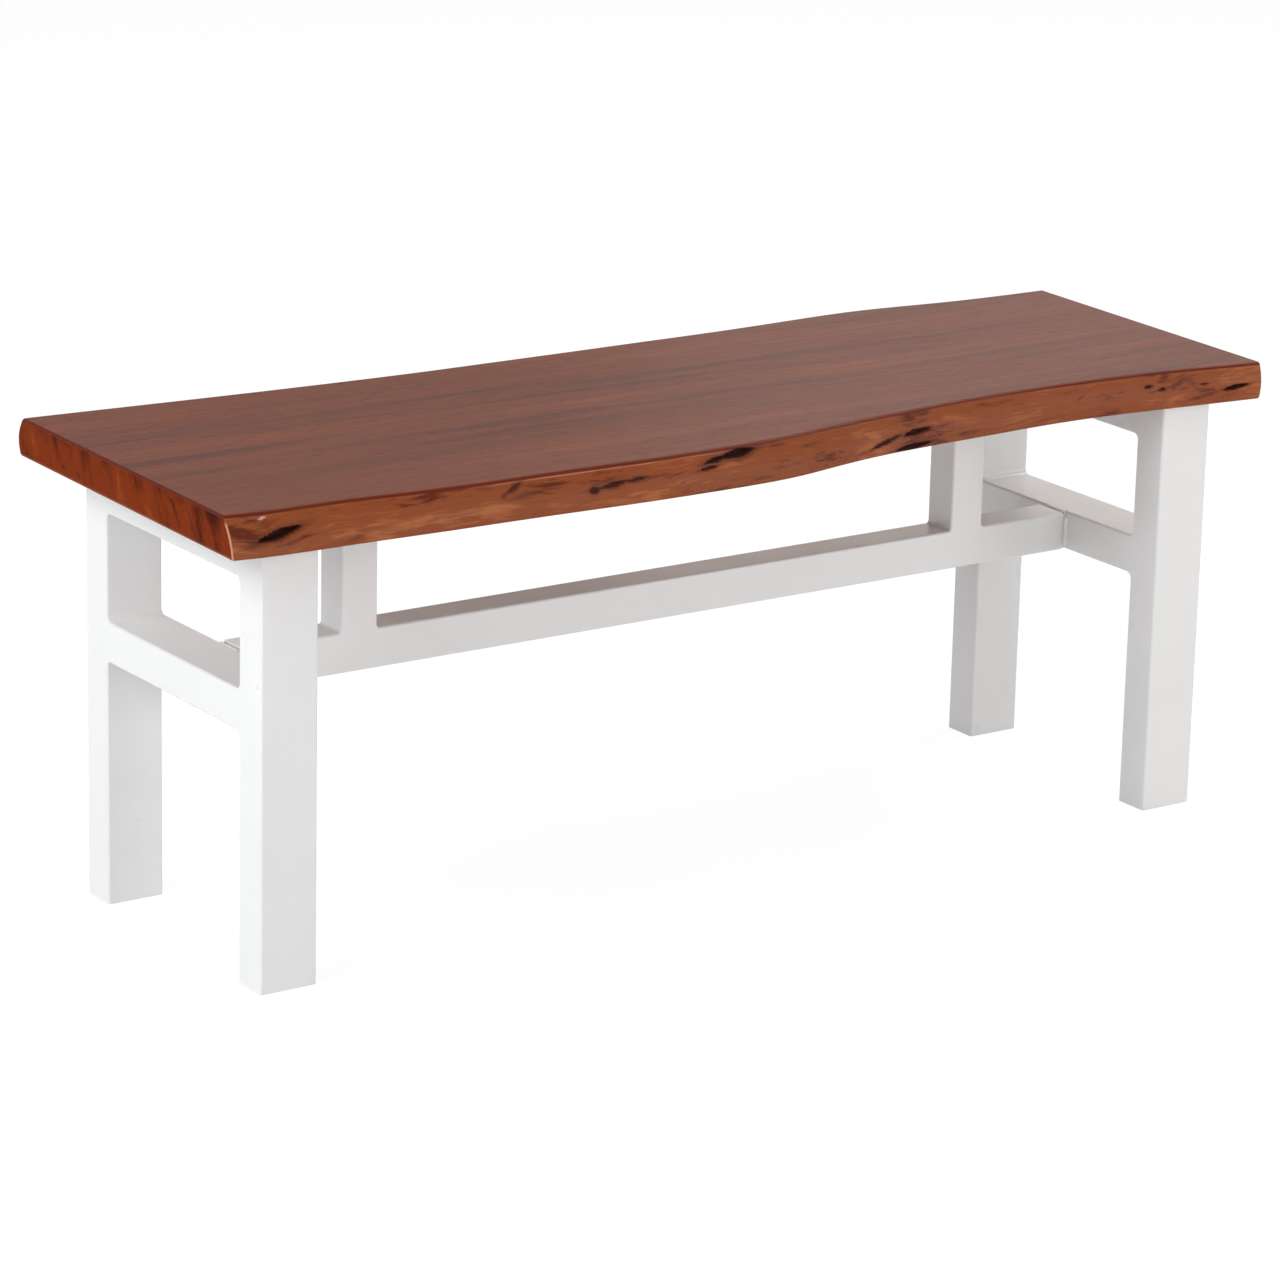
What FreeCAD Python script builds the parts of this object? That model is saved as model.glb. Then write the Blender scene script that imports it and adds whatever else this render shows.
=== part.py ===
"""Live edge bench: a two-board wooden seat on a welded box-section steel frame.

Row frame: X runs along the seat, Y from the front live edge to the back one, Z up.
The origin is on the floor, under the middle of the seat. Millimetres throughout.
"""
import FreeCAD, Part
import math
import os
import re

import Sketcher
from FreeCAD import Placement, Rotation, Vector

DRIVING_SIZES = (
    # seat
    ("seat_length", 1200, "seat along its middle line"),
    ("seat_depth", 430, "seat across its widest point"),
    ("seat_thickness", 38, "thickness of both boards"),
    ("seat_height", 468, "floor to the top of the seat"),
    ("glue_line", 17.5, "glue line between the boards, behind the middle"),
    ("end_skew", 5, "lean of the end cuts, at half the seat depth"),
    ("corner_round", 4, "rounding of the four upright corners"),
    ("arris_round", 2.5, "rounding of the top and bottom edges"),
    ("front_belly", 3.5, "swell of the front live edge at half its thickness"),
    ("back_belly", 7, "swell of the back live edge at half its thickness"),
    # end frames of the base
    ("end_overhang", 46, "seat beyond the legs at each end"),
    ("edge_overhang", 51, "widest seat beyond the legs at front and back"),
    ("leg_width", 60, "leg and cross rail section along the seat"),
    ("leg_depth", 40, "leg section across the seat"),
    ("rail_height", 40, "height of the top rails, cross rails and stretcher"),
    ("lower_level", 244, "floor to the underside of the cross rails"),
    ("tube_wall", 2, "wall of every box section"),
    ("tube_round", 3, "outer corner radius of every box section"),
    ("weld_throat", 6, "radius of the dressed welds in the inner corners"),
    # stretcher with its two posts
    ("stretcher_depth", 40, "stretcher and post section across the seat"),
    ("post_width", 40, "post section along the seat"),
    ("post_inset", 112, "clear distance from a cross rail to the next post"),
    ("plate_ear", 42, "mounting plate beyond each side of its post"),
    ("plate_thickness", 4, "mounting plate on a post"),
    ("plate_weld", 4, "weld between a post and its plate"),
    # spigots that carry the stretcher
    ("stretcher_reveal", 7, "gap between the stretcher and a cross rail"),
    ("spigot_engagement", 50, "length of a spigot inside the stretcher"),
    ("spigot_clearance", 0.5, "gap round a spigot inside the stretcher"),
    ("spigot_wall", 2.5, "wall of a spigot"),
    ("spigot_weld", 5, "weld between a spigot and its cross rail"),
    # screws that hold the seat
    ("screw_shank", 6, "wood screw across its thread"),
    ("screw_length", 30, "wood screw under its head"),
    ("screw_head", 14, "wide flat head of a wood screw, across"),
    ("screw_head_height", 2.6, "head of a wood screw, thickness"),
    ("thread_clearance", 0.1, "gap round a screw in its pilot hole"),
    ("hole_clearance", 0.5, "gap round a screw or bolt in steel"),
    ("slot_travel", 8, "room for the boards to swell across the seat"),
    ("tool_hole", 20, "hole under a top rail for screw and driver"),
    ("rail_screw_inset", 24, "screw from the end of its top rail"),
    ("plate_screw_inset", 16, "screw from the end of its mounting plate"),
    # bolts that hold the stretcher on its spigots
    ("bolt_shank", 8, "bolt across its thread"),
    ("bolt_length", 16, "bolt under its head"),
    ("bolt_head", 14, "bolt head across"),
    ("bolt_head_height", 4.4, "bolt head thickness"),
    ("bolt_socket", 5, "hexagon socket of a bolt, across its flats"),
    ("bolt_socket_depth", 2.6, "hexagon socket of a bolt, depth"),
    ("bolt_inset", 26, "bolt from the end of the stretcher"),
    ("nut_size", 13, "weld nut across its flats"),
    ("nut_height", 6.5, "weld nut thickness"),
    # glides in the feet
    ("glide_clearance", 0.3, "gap between a glide and the leg's wall"),
    ("glide_height", 22, "glide from the floor to its top"),
    ("glide_wall", 2.5, "wall of a glide"),
    ("glide_floor", 4, "floor of a glide"),
    ("cut_overrun", 5, "what every cut reaches past its solid"),
)

# Stations along a live edge, as shares of half the seat length
STATION_SHARES = (-1, -0.955, -0.82, -0.64, -0.46, -0.28, -0.12, 0.02, 0.12, 0.24, 0.42, 0.62, 0.8, 0.955, 1)
# The live edges at those stations, as shares of half the seat depth: top, then underside
FRONT_SHARES = (
    (-0.846, -0.865, -0.874, -0.92, -0.931, -0.95, -0.95, -0.92,
     -0.872, -0.829, -0.779, -0.772, -0.801, -0.868, -0.886),
    (-0.932, -0.95, -0.963, -0.98, -0.991, -1.011, -1.012, -0.986,
     -0.925, -0.868, -0.832, -0.806, -0.838, -0.885, -0.898),
)
BACK_SHARES = (
    (0.99, 0.98, 0.951, 0.913, 0.882, 0.863, 0.861, 0.86,
     0.862, 0.861, 0.874, 0.887, 0.83, 0.807, 0.804),
    (1.014, 0.998, 0.966, 0.925, 0.897, 0.878, 0.877, 0.873,
     0.877, 0.878, 0.889, 0.9, 0.847, 0.822, 0.82),
)
# Heights between the two arrises where the belly of a live edge is held, as shares
BELLY_SHARES = (0.25, 0.5, 0.75)

SIDES = {"left": -1, "right": 1}
FACES = {"front": -1, "back": 1}

doc = FreeCAD.newDocument("live_edge_bench")
sheet = doc.addObject("Spreadsheet::Sheet", "Sizes")
for row, (alias, size, meaning) in enumerate(DRIVING_SIZES, start=1):
    sheet.set(f"A{row}", meaning)
    sheet.set(f"B{row}", str(size))
    sheet.setAlias(f"B{row}", alias)
doc.recompute()

nodes = []


def named(expression):
    """The expression with each size's name pointed at the sheet."""
    aliases = {alias for alias, size, meaning in DRIVING_SIZES}
    return re.sub("[a-z_]+", lambda word: f"Sizes.{word[0]}" if word[0] in aliases else word[0], expression)


def value(expression):
    """The number that an expression of named sizes comes to."""
    return float(sheet.evalExpression(named(expression)))


def bind(thing, **places):
    """Tie properties to expressions; x, y and z stand for the placement."""
    for name, expression in places.items():
        path = f"Placement.Base.{name}" if name in ("x", "y", "z") else name
        thing.setExpression(path, named(expression))


def keep(thing, node):
    """Give a finished sub-part its name and remember it for the hand-over."""
    thing.Label = node
    nodes.append(thing)
    return thing


def origin_plane(body, role):
    return next(plane for plane in body.Origin.OriginFeatures if plane.Role == role)


def new_body(node):
    return keep(doc.addObject("PartDesign::Body", node), node)


def new_sketch(body, name, role, offset="0"):
    """A sketch on one of the body's own planes, raised by an offset along its normal."""
    sketch = body.newObject("Sketcher::SketchObject", name)
    sketch.AttachmentSupport = (origin_plane(body, role), [""])
    sketch.MapMode = "FlatFace"
    if offset != "0":
        sketch.AttachmentOffset = Placement(Vector(0, 0, value(offset)), Rotation())
        sketch.setExpression("AttachmentOffset.Base.z", named(offset))
    return sketch


def dimension(sketch, name, constraint, expression):
    index = sketch.addConstraint(constraint)
    sketch.renameConstraint(index, name)
    sketch.setExpression(f"Constraints.{name}", named(expression))


def tangent_ring(ring):
    """Constraints that run each piece of an outline smoothly into the next."""
    return [Sketcher.Constraint("Tangent", one, 2, two, 1) for one, two in zip(ring, ring[1:] + ring[:1])]


def rounded_rectangle(sketch, name, width, depth, radius):
    """Four lines and four tangent arcs, centred on the sketch's origin."""
    w, d, r = value(width) / 2, value(depth) / 2, value(radius)
    turn = math.pi / 2
    lines = (
        ((r - w, -d), (w - r, -d)),
        ((w, r - d), (w, d - r)),
        ((w - r, d), (r - w, d)),
        ((-w, d - r), (-w, r - d)),
    )
    corners = ((w - r, r - d, 3), (w - r, d - r, 0), (r - w, d - r, 1), (r - w, r - d, 2))
    geometry = []
    for (start, end), (x, y, quarter) in zip(lines, corners):
        geometry.append(Part.LineSegment(Vector(*start, 0), Vector(*end, 0)))
        circle = Part.Circle(Vector(x, y, 0), Vector(0, 0, 1), r)
        geometry.append(Part.ArcOfCircle(circle, quarter * turn, (quarter + 1) * turn))
    first = sketch.GeometryCount
    sketch.addGeometry(geometry, False)
    bottom, arc_a, right, arc_b, top, arc_c, left, arc_d = range(first, first + 8)
    rules = tangent_ring([bottom, arc_a, right, arc_b, top, arc_c, left, arc_d])
    rules += [Sketcher.Constraint("Horizontal", line) for line in (bottom, top)]
    rules += [Sketcher.Constraint("Vertical", line) for line in (right, left)]
    rules += [Sketcher.Constraint("Equal", arc_a, arc) for arc in (arc_b, arc_c, arc_d)]
    rules += [Sketcher.Constraint("Symmetric", arc_d, 3, arc_b, 3, -1, 1)]
    sketch.addConstraint(rules)
    dimension(sketch, f"{name}_width", Sketcher.Constraint("DistanceX", left, 1, right, 1, 2 * w), width)
    dimension(sketch, f"{name}_depth", Sketcher.Constraint("DistanceY", bottom, 1, top, 1, 2 * d), depth)
    dimension(sketch, f"{name}_radius", Sketcher.Constraint("Radius", arc_a, r), radius)


def rectangle(sketch, name, width, depth):
    """Four lines, centred on the sketch's origin."""
    w, d = value(width) / 2, value(depth) / 2
    corners = [Vector(-w, -d, 0), Vector(w, -d, 0), Vector(w, d, 0), Vector(-w, d, 0)]
    first = sketch.GeometryCount
    pairs = zip(corners, corners[1:] + corners[:1])
    sketch.addGeometry([Part.LineSegment(start, end) for start, end in pairs], False)
    ring = bottom, right, top, left = list(range(first, first + 4))
    rules = [Sketcher.Constraint("Coincident", one, 2, two, 1) for one, two in zip(ring, ring[1:] + ring[:1])]
    rules += [Sketcher.Constraint("Horizontal", line) for line in (bottom, top)]
    rules += [Sketcher.Constraint("Vertical", line) for line in (right, left)]
    rules += [Sketcher.Constraint("Symmetric", bottom, 1, right, 2, -1, 1)]
    sketch.addConstraint(rules)
    dimension(sketch, f"{name}_width", Sketcher.Constraint("DistanceX", bottom, 1, bottom, 2, 2 * w), width)
    dimension(sketch, f"{name}_depth", Sketcher.Constraint("DistanceY", right, 1, right, 2, 2 * d), depth)


def polygon(sketch, corners):
    """A closed outline whose every corner is held by two expressions."""
    points = [Vector(value(x), value(y), 0) for x, y in corners]
    pairs = list(zip(points, points[1:] + points[:1]))
    sketch.addGeometry([Part.LineSegment(start, end) for start, end in pairs], False)
    count = len(points)
    sketch.addConstraint([Sketcher.Constraint("Coincident", i, 2, (i + 1) % count, 1) for i in range(count)])
    for i, (x, y) in enumerate(corners):
        for axis, expression in (("X", x), ("Y", y)):
            rule = Sketcher.Constraint(f"Distance{axis}", -1, 1, i, 1, value(expression))
            dimension(sketch, f"corner_{i}_{axis.lower()}", rule, expression)


def circle(sketch, name, x, y, radius):
    """A hole's outline, held by its centre and radius."""
    outline = Part.Circle(Vector(value(x), value(y), 0), Vector(0, 0, 1), value(radius))
    index = sketch.addGeometry(outline, False)
    dimension(sketch, f"{name}_radius", Sketcher.Constraint("Radius", index, value(radius)), radius)
    dimension(sketch, f"{name}_x", Sketcher.Constraint("DistanceX", -1, 1, index, 3, value(x)), x)
    dimension(sketch, f"{name}_y", Sketcher.Constraint("DistanceY", -1, 1, index, 3, value(y)), y)


def slot(sketch, name, y, radius, travel):
    """A round-ended slot along the sketch's Y axis, centred on X = 0."""
    middle, r, half = value(y), value(radius), value(travel) / 2
    low, high = middle - half, middle + half
    normal = Vector(0, 0, 1)
    geometry = [
        Part.ArcOfCircle(Part.Circle(Vector(0, high, 0), normal, r), 0, math.pi),
        Part.LineSegment(Vector(-r, high, 0), Vector(-r, low, 0)),
        Part.ArcOfCircle(Part.Circle(Vector(0, low, 0), normal, r), math.pi, 2 * math.pi),
        Part.LineSegment(Vector(r, low, 0), Vector(r, high, 0)),
    ]
    first = sketch.GeometryCount
    sketch.addGeometry(geometry, False)
    upper, left, lower, right = range(first, first + 4)
    rules = tangent_ring([upper, left, lower, right])
    rules += [Sketcher.Constraint("PointOnObject", arc, 3, -2) for arc in (upper, lower)]
    rules += [Sketcher.Constraint("Vertical", left)]
    sketch.addConstraint(rules)
    dimension(sketch, f"{name}_radius", Sketcher.Constraint("Radius", upper, r), radius)
    apart = Sketcher.Constraint("DistanceY", lower, 3, upper, 3, high - low)
    height = Sketcher.Constraint("DistanceY", -1, 1, lower, 3, low)
    dimension(sketch, f"{name}_travel", apart, travel)
    dimension(sketch, f"{name}_low", height, f"{y} - {travel} / 2")


def pad(body, sketch, name, length, centred=False):
    feature = body.newObject("PartDesign::Pad", name)
    feature.Profile = sketch
    feature.Midplane = centred
    bind(feature, Length=length)
    return feature


def pocket(body, sketch, name, length, upwards=True):
    """Cut from the sketch's plane; the volume has to fall."""
    doc.recompute()
    before = body.Shape.Volume
    feature = body.newObject("PartDesign::Pocket", name)
    feature.Profile = sketch
    feature.Reversed = upwards
    bind(feature, Length=length)
    doc.recompute()
    if body.Shape.Volume >= before:
        raise RuntimeError(f"{body.Label}: {name} cuts nothing")
    return feature


def box_section(node, role, width, depth, length, wall="tube_wall", centred=True):
    """A box section cut square, drawn about its own middle line."""
    body = new_body(node)
    section = new_sketch(body, "section", role)
    rounded_rectangle(section, "outer", width, depth, "tube_round")
    rectangle(section, "inner", f"{width} - 2 * {wall}", f"{depth} - 2 * {wall}")
    pad(body, section, "tube", length, centred)
    return body


def signed(side, expression):
    """The expression on the given side of the middle."""
    return f"{side} * ( {expression} )"


# Places that several pieces share
FRAME_TOP = "( seat_height - seat_thickness )"
LEG_X = "( ( seat_length - leg_width ) / 2 - end_overhang )"
LEG_Y = "( ( seat_depth - leg_depth ) / 2 - edge_overhang )"
RAIL_FACE_X = f"( {LEG_X} - leg_width / 2 )"
RAIL_LENGTH = f"( 2 * {LEG_Y} - leg_depth )"
LOWER_MIDDLE = "lower_level + rail_height / 2"
STRETCHER_END = f"( {RAIL_FACE_X} - stretcher_reveal )"
POST_X = f"( {RAIL_FACE_X} - post_inset - post_width / 2 )"
PLATE_UNDERSIDE = f"( {FRAME_TOP} - plate_thickness )"
SPIGOT_HEIGHT = "( rail_height - 2 * tube_wall - 2 * spigot_clearance )"
SPIGOT_DEPTH = "( stretcher_depth - 2 * tube_wall - 2 * spigot_clearance )"
SPIGOT_FLOOR = "( lower_level + tube_wall )"
BOLT_X = f"( {STRETCHER_END} - bolt_inset )"
SCREW_HOLE = "( screw_shank / 2 + hole_clearance )"
BOLT_HOLE = "( bolt_shank / 2 + hole_clearance )"
RAIL_SCREW_Y = f"( {RAIL_LENGTH} / 2 - rail_screw_inset )"
PLATE_LENGTH = "( post_width + 2 * plate_ear )"
PLATE_SCREW_X = f"( {PLATE_LENGTH} / 2 - plate_screw_inset )"


def live_edge_board(node, face, edge_shares, belly, screws):
    """One board of the seat, lofted through its contours from underside to top.

    A contour runs along the live edge as a spline, round two corner arcs, along the
    two end cuts and back down the straight glue line. The arrises are contours drawn
    in by a quarter round, and between them the live edge swells by its belly.
    """
    length, depth = value("seat_length") / 2, value("seat_depth") / 2
    thickness, skew = value("seat_thickness"), value("end_skew")
    corner, glue, swell = value("corner_round"), value("glue_line"), value(belly)

    def end_x(side, y):
        return side * length + skew * y / depth

    def contour(height, inset):
        rise = height / thickness
        edge = []
        for station, high, low in zip(STATION_SHARES, *edge_shares):
            share = low + (high - low) * rise
            y = depth * share + face * (4 * swell * rise * (1 - rise) - inset)
            edge.append(Vector(station * (length - corner) + skew * share, y, 0))
        live = Part.BSplineCurve()
        live.interpolate(Points=edge, Parameters=list(STATION_SHARES))
        arcs, turns = [], []
        radius = corner - inset
        slant = radius * math.sqrt(0.5)
        for side, start in ((-1, edge[0]), (1, edge[-1])):
            centre = Vector(start.x, start.y - face * radius, 0)
            finish = Vector(end_x(side, centre.y) - side * inset, centre.y, 0)
            middle = centre + Vector(side * slant, face * slant, 0)
            arcs.append(Part.Arc(start, middle, finish))
            turns.append(finish)
        glued = [Vector(end_x(side, glue) - side * inset, glue, 0) for side in (-1, 1)]
        return [
            live,
            arcs[1],
            Part.LineSegment(turns[1], glued[1]),
            Part.LineSegment(glued[1], glued[0]),
            Part.LineSegment(glued[0], turns[0]),
            arcs[0],
        ]

    quarter = (0, 45, 90)
    rim = [(f"arris_round * (1 - cos({angle}))", f"arris_round * (1 - sin({angle}))") for angle in quarter]
    flank = [(f"arris_round + {share} * (seat_thickness - 2 * arris_round)", "0") for share in BELLY_SHARES]
    levels = rim + flank + [(f"seat_thickness - {height}", inset) for height, inset in reversed(rim)]

    body = new_body(node)
    contours = []
    for number, (height, inset) in enumerate(levels):
        sketch = new_sketch(body, f"contour_{number}", "XY_Plane", height)
        sketch.addGeometry(contour(value(height), value(inset)), False)
        contours.append(sketch)
    plank = body.newObject("PartDesign::AdditiveLoft", "plank")
    plank.Profile = contours[0]
    plank.Sections = contours[1:]
    plank.Ruled = True
    pilots = new_sketch(body, "pilots", "XY_Plane")
    for number, (x, y) in enumerate(screws):
        circle(pilots, f"pilot_{number}", x, y, "screw_shank / 2 + thread_clearance")
    pocket(body, pilots, "pilot_holes", "screw_length")
    bind(body, z=FRAME_TOP)
    return body


def rail_screw_places(side):
    """Two screws in a top rail, near its ends: X and Y."""
    return [(signed(side, LEG_X), signed(face, RAIL_SCREW_Y)) for face in FACES.values()]


def plate_screw_places():
    """Two screws in each mounting plate: X and Y."""
    return [
        (signed(side, f"{POST_X} + {hand} * {PLATE_SCREW_X}"), "0")
        for side in SIDES.values()
        for hand in (-1, 1)
    ]


def make_seat():
    places = [place for side in SIDES.values() for place in rail_screw_places(side)]
    places += plate_screw_places()
    front = [(x, y) for x, y in places if value(y) < value("glue_line")]
    back = [(x, y) for x, y in places if value(y) > value("glue_line")]
    live_edge_board("seat_board_front", FACES["front"], FRONT_SHARES, "front_belly", front)
    live_edge_board("seat_board_back", FACES["back"], BACK_SHARES, "back_belly", back)


def make_leg(side_name, face_name):
    node = f"leg_{side_name}_{face_name}"
    leg = box_section(node, "XY_Plane", "leg_width", "leg_depth", FRAME_TOP, centred=False)
    bind(leg, x=signed(SIDES[side_name], LEG_X), y=signed(FACES[face_name], LEG_Y))


def make_crossrail(side_name):
    rail = box_section(f"crossrail_{side_name}", "XZ_Plane", "leg_width", "rail_height", RAIL_LENGTH)
    bind(rail, x=signed(SIDES[side_name], LEG_X), z=LOWER_MIDDLE)


def make_top_rail(side_name):
    """A rail under the seat: slots in its top wall, tool holes in its bottom wall."""
    rail = box_section(f"top_rail_{side_name}", "XZ_Plane", "leg_width", "rail_height", RAIL_LENGTH)
    slots = new_sketch(rail, "slots", "XY_Plane")
    holes = new_sketch(rail, "tool_holes", "XY_Plane")
    for face_name, face in FACES.items():
        y = signed(face, RAIL_SCREW_Y)
        slot(slots, f"slot_{face_name}", y, SCREW_HOLE, "slot_travel")
        circle(holes, f"tool_{face_name}", "0", y, "tool_hole / 2")
    pocket(rail, slots, "screw_slots", "rail_height / 2 + cut_overrun")
    pocket(rail, holes, "tool_access", "rail_height / 2 + cut_overrun", upwards=False)
    bind(rail, x=signed(SIDES[side_name], LEG_X), z=f"{FRAME_TOP} - rail_height / 2")


def make_stretcher():
    """The long rail, hung between the end frames, with a bolt hole near each end."""
    length = f"2 * {STRETCHER_END}"
    rail = box_section("stretcher", "YZ_Plane", "stretcher_depth", "rail_height", length)
    holes = new_sketch(rail, "bolt_holes", "XY_Plane")
    for side_name, side in SIDES.items():
        circle(holes, side_name, signed(side, BOLT_X), "0", BOLT_HOLE)
    pocket(rail, holes, "bolt_clearance", "rail_height / 2 + cut_overrun", upwards=False)
    bind(rail, z=LOWER_MIDDLE)


def make_post(side_name):
    node, height = f"post_{side_name}", f"{PLATE_UNDERSIDE} - lower_level - rail_height"
    post = box_section(node, "XY_Plane", "post_width", "stretcher_depth", height, centred=False)
    bind(post, x=signed(SIDES[side_name], POST_X), z="lower_level + rail_height")


def make_post_plate(side_name):
    """A flat plate welded on a post, with a screw hole on each side of it."""
    body = new_body(f"post_plate_{side_name}")
    outline = new_sketch(body, "outline", "XY_Plane")
    rectangle(outline, "plate", PLATE_LENGTH, "stretcher_depth")
    pad(body, outline, "plate", "plate_thickness")
    holes = new_sketch(body, "holes", "XY_Plane")
    for number, hand in enumerate((-1, 1)):
        circle(holes, f"hole_{number}", signed(hand, PLATE_SCREW_X), "0", SCREW_HOLE)
    pocket(body, holes, "screw_holes", "plate_thickness + cut_overrun")
    bind(body, x=signed(SIDES[side_name], POST_X), z=PLATE_UNDERSIDE)


def make_spigot(side_name):
    """A smaller box section, welded to a cross rail, that the stretcher slips over."""
    side = SIDES[side_name]
    length = "( stretcher_reveal + spigot_engagement )"
    node = f"spigot_{side_name}"
    spigot = box_section(node, "YZ_Plane", SPIGOT_DEPTH, SPIGOT_HEIGHT, length, "spigot_wall")
    hole = new_sketch(spigot, "bolt_hole", "XY_Plane")
    from_middle = signed(side, f"{BOLT_X} - {RAIL_FACE_X} + {length} / 2")
    circle(hole, "bolt", from_middle, "0", BOLT_HOLE)
    pocket(spigot, hole, "bolt_clearance", f"{SPIGOT_HEIGHT} / 2 + cut_overrun", upwards=False)
    bind(spigot, x=signed(side, f"{RAIL_FACE_X} - {length} / 2"), z=f"{SPIGOT_FLOOR} + {SPIGOT_HEIGHT} / 2")


def facing(shape, *directions):
    """A copy of the shape, mirrored along each of the directions."""
    placed = shape.copy()
    for direction in directions:
        placed = placed.mirror(Vector(), direction)
    return placed


def moved(shapes, place):
    """Copies of the shapes at a place."""
    copies = [shape.copy() for shape in shapes]
    for copy in copies:
        copy.translate(place)
    return copies


def prism(corners, bulge, width):
    """A weld's section in Y and Z, run along X about the middle.

    Its last side, back to the first corner, is an arc through the point `bulge`.
    """
    points = [Vector(0, y, z) for y, z in corners]
    sides = [Part.makeLine(start, end) for start, end in zip(points, points[1:])]
    sides.append(Part.Arc(points[-1], Vector(0, *bulge), points[0]).toShape())
    solid = Part.Face(Part.Wire(sides)).extrude(Vector(width, 0, 0))
    solid.translate(Vector(-width / 2, 0, 0))
    return solid


def corner_welds(width, bar_height, upper):
    """Dressed welds where a lying bar meets an upright tube of the same width.

    The wall is at Y = 0, and the bar reaches towards +Y with its middle at Z = 0. A
    hollow fillet runs under the bar, and one above it where `upper` says that the
    corner is open. At each side the weld fills the tube's rounded corner flush.
    """
    radius, rounding = value("weld_throat"), value("tube_round")
    half = bar_height / 2
    slant = radius * (1 - math.sqrt(0.5))
    section = [(radius, -half), (0, -half), (0, -half - radius)]
    welds = [prism(section, (slant, -half - slant), width - 2 * rounding)]
    if upper:
        welds.append(facing(welds[0], Vector(0, 0, 1)))

    rise = rounding * (1 - math.sqrt(0.5))
    section = [(-rounding, 0), (0, 0), (0, -rounding)]
    flush = prism(section, (-rise, -rise), bar_height - 2 * rounding)
    flush.rotate(Vector(), Vector(0, 1, 0), 90)
    flush.translate(Vector(width / 2, 0, 0))
    return [*welds, flush, facing(flush, Vector(1, 0, 0))]


def post_welds():
    """The dressed welds of a post on the stretcher, about the foot of the post."""
    welds = corner_welds(value("stretcher_depth"), value("post_width"), True)
    for weld in welds:
        weld.rotate(Vector(), Vector(0, 0, 1), 90)
        weld.rotate(Vector(), Vector(0, 1, 0), 90)
    return welds


def bead(leg_size, run):
    """A plain triangular weld: a corner at the origin, legs along X and Z, run along Y."""
    corners = [Vector(), Vector(leg_size, 0, 0), Vector(0, 0, leg_size), Vector()]
    weld = Part.Face(Part.makePolygon(corners)).extrude(Vector(0, run, 0))
    weld.translate(Vector(0, -run / 2, 0))
    return weld


def weld_group(node, welds):
    feature = doc.addObject("Part::Feature", node)
    feature.Shape = Part.makeCompound(welds)
    return keep(feature, node)


def make_frame_welds(side_name):
    """Dressed welds of one end frame, and the two beads that hold its spigot."""
    side = SIDES[side_name]
    along, across = Vector(1, 0, 0), Vector(0, 1, 0)
    leg_x, face_y = side * value(LEG_X), value(RAIL_LENGTH) / 2
    levels = ((value(LOWER_MIDDLE), True), (value(f"{FRAME_TOP} - rail_height / 2"), False))
    spigot_middle = value(f"{SPIGOT_FLOOR} + {SPIGOT_HEIGHT} / 2")
    upright = bead(value("spigot_weld"), value(f"{SPIGOT_HEIGHT} - 2 * tube_round"))
    upright.rotate(Vector(), along, 90)
    if side > 0:
        upright = facing(upright, along)
    welds = []
    for face in FACES.values():
        flip = [across] if face > 0 else []
        for middle, upper in levels:
            corner = corner_welds(value("leg_width"), value("rail_height"), upper)
            corner = [facing(weld, *flip) for weld in corner]
            welds += moved(corner, Vector(leg_x, face * face_y, middle))
        beside = Vector(side * value(RAIL_FACE_X), face * value(SPIGOT_DEPTH) / 2, spigot_middle)
        welds += moved([facing(upright, *flip)], beside)
    weld_group(f"welds_{side_name}_frame", welds)


def make_stretcher_welds():
    """Dressed welds under the posts, and the beads under their plates."""
    upward, along = Vector(0, 0, 1), Vector(1, 0, 0)
    foot_level, head_level = value("lower_level + rail_height"), value(PLATE_UNDERSIDE)
    reach = value("post_width") / 2
    under = bead(value("plate_weld"), value("stretcher_depth - 2 * tube_round"))
    under = facing(under, upward)
    welds = []
    for side in SIDES.values():
        post_x = side * value(POST_X)
        welds += moved(post_welds(), Vector(post_x, 0, foot_level))
        welds += moved([under], Vector(post_x + reach, 0, head_level))
        welds += moved([facing(under, along)], Vector(post_x - reach, 0, head_level))
    weld_group("welds_stretcher_frame", welds)


def turned(name, corners):
    """A turned piece: its half outline, in X and Z, swept round the Z axis."""
    body = doc.addObject("PartDesign::Body", name)
    outline = new_sketch(body, "half_outline", "XZ_Plane")
    polygon(outline, corners)
    turn = body.newObject("PartDesign::Revolution", "turned")
    turn.Profile = outline
    turn.ReferenceAxis = (outline, ["V_Axis"])
    return body


def hexagon(flats):
    """The corners of a hexagon, from its size across flats."""
    radius = f"{flats} / 2 / cos(30)"
    angles = [60 * i + 30 for i in range(6)]
    return [(f"{radius} * cos({angle})", f"{radius} * sin({angle})") for angle in angles]


def wood_screw():
    """A screw with a wide flat head, point up, the underside of its head at Z = 0."""
    return turned("wood_screw", (
        ("0", "-screw_head_height"),
        ("screw_head / 2", "-screw_head_height"),
        ("screw_head / 2", "0"),
        ("screw_shank / 2", "0"),
        ("screw_shank / 2", "screw_length"),
        ("0", "screw_length"),
    ))


def socket_bolt():
    """A bolt, thread up, with a hexagon socket in its head."""
    bolt = turned("socket_bolt", (
        ("0", "-bolt_head_height"),
        ("bolt_head / 2", "-bolt_head_height"),
        ("bolt_head / 2", "0"),
        ("bolt_shank / 2", "0"),
        ("bolt_shank / 2", "bolt_length"),
        ("0", "bolt_length"),
    ))
    socket = new_sketch(bolt, "socket", "XY_Plane", "-bolt_head_height")
    polygon(socket, hexagon("bolt_socket"))
    pocket(bolt, socket, "driver_socket", "bolt_socket_depth")
    return bolt


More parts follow.
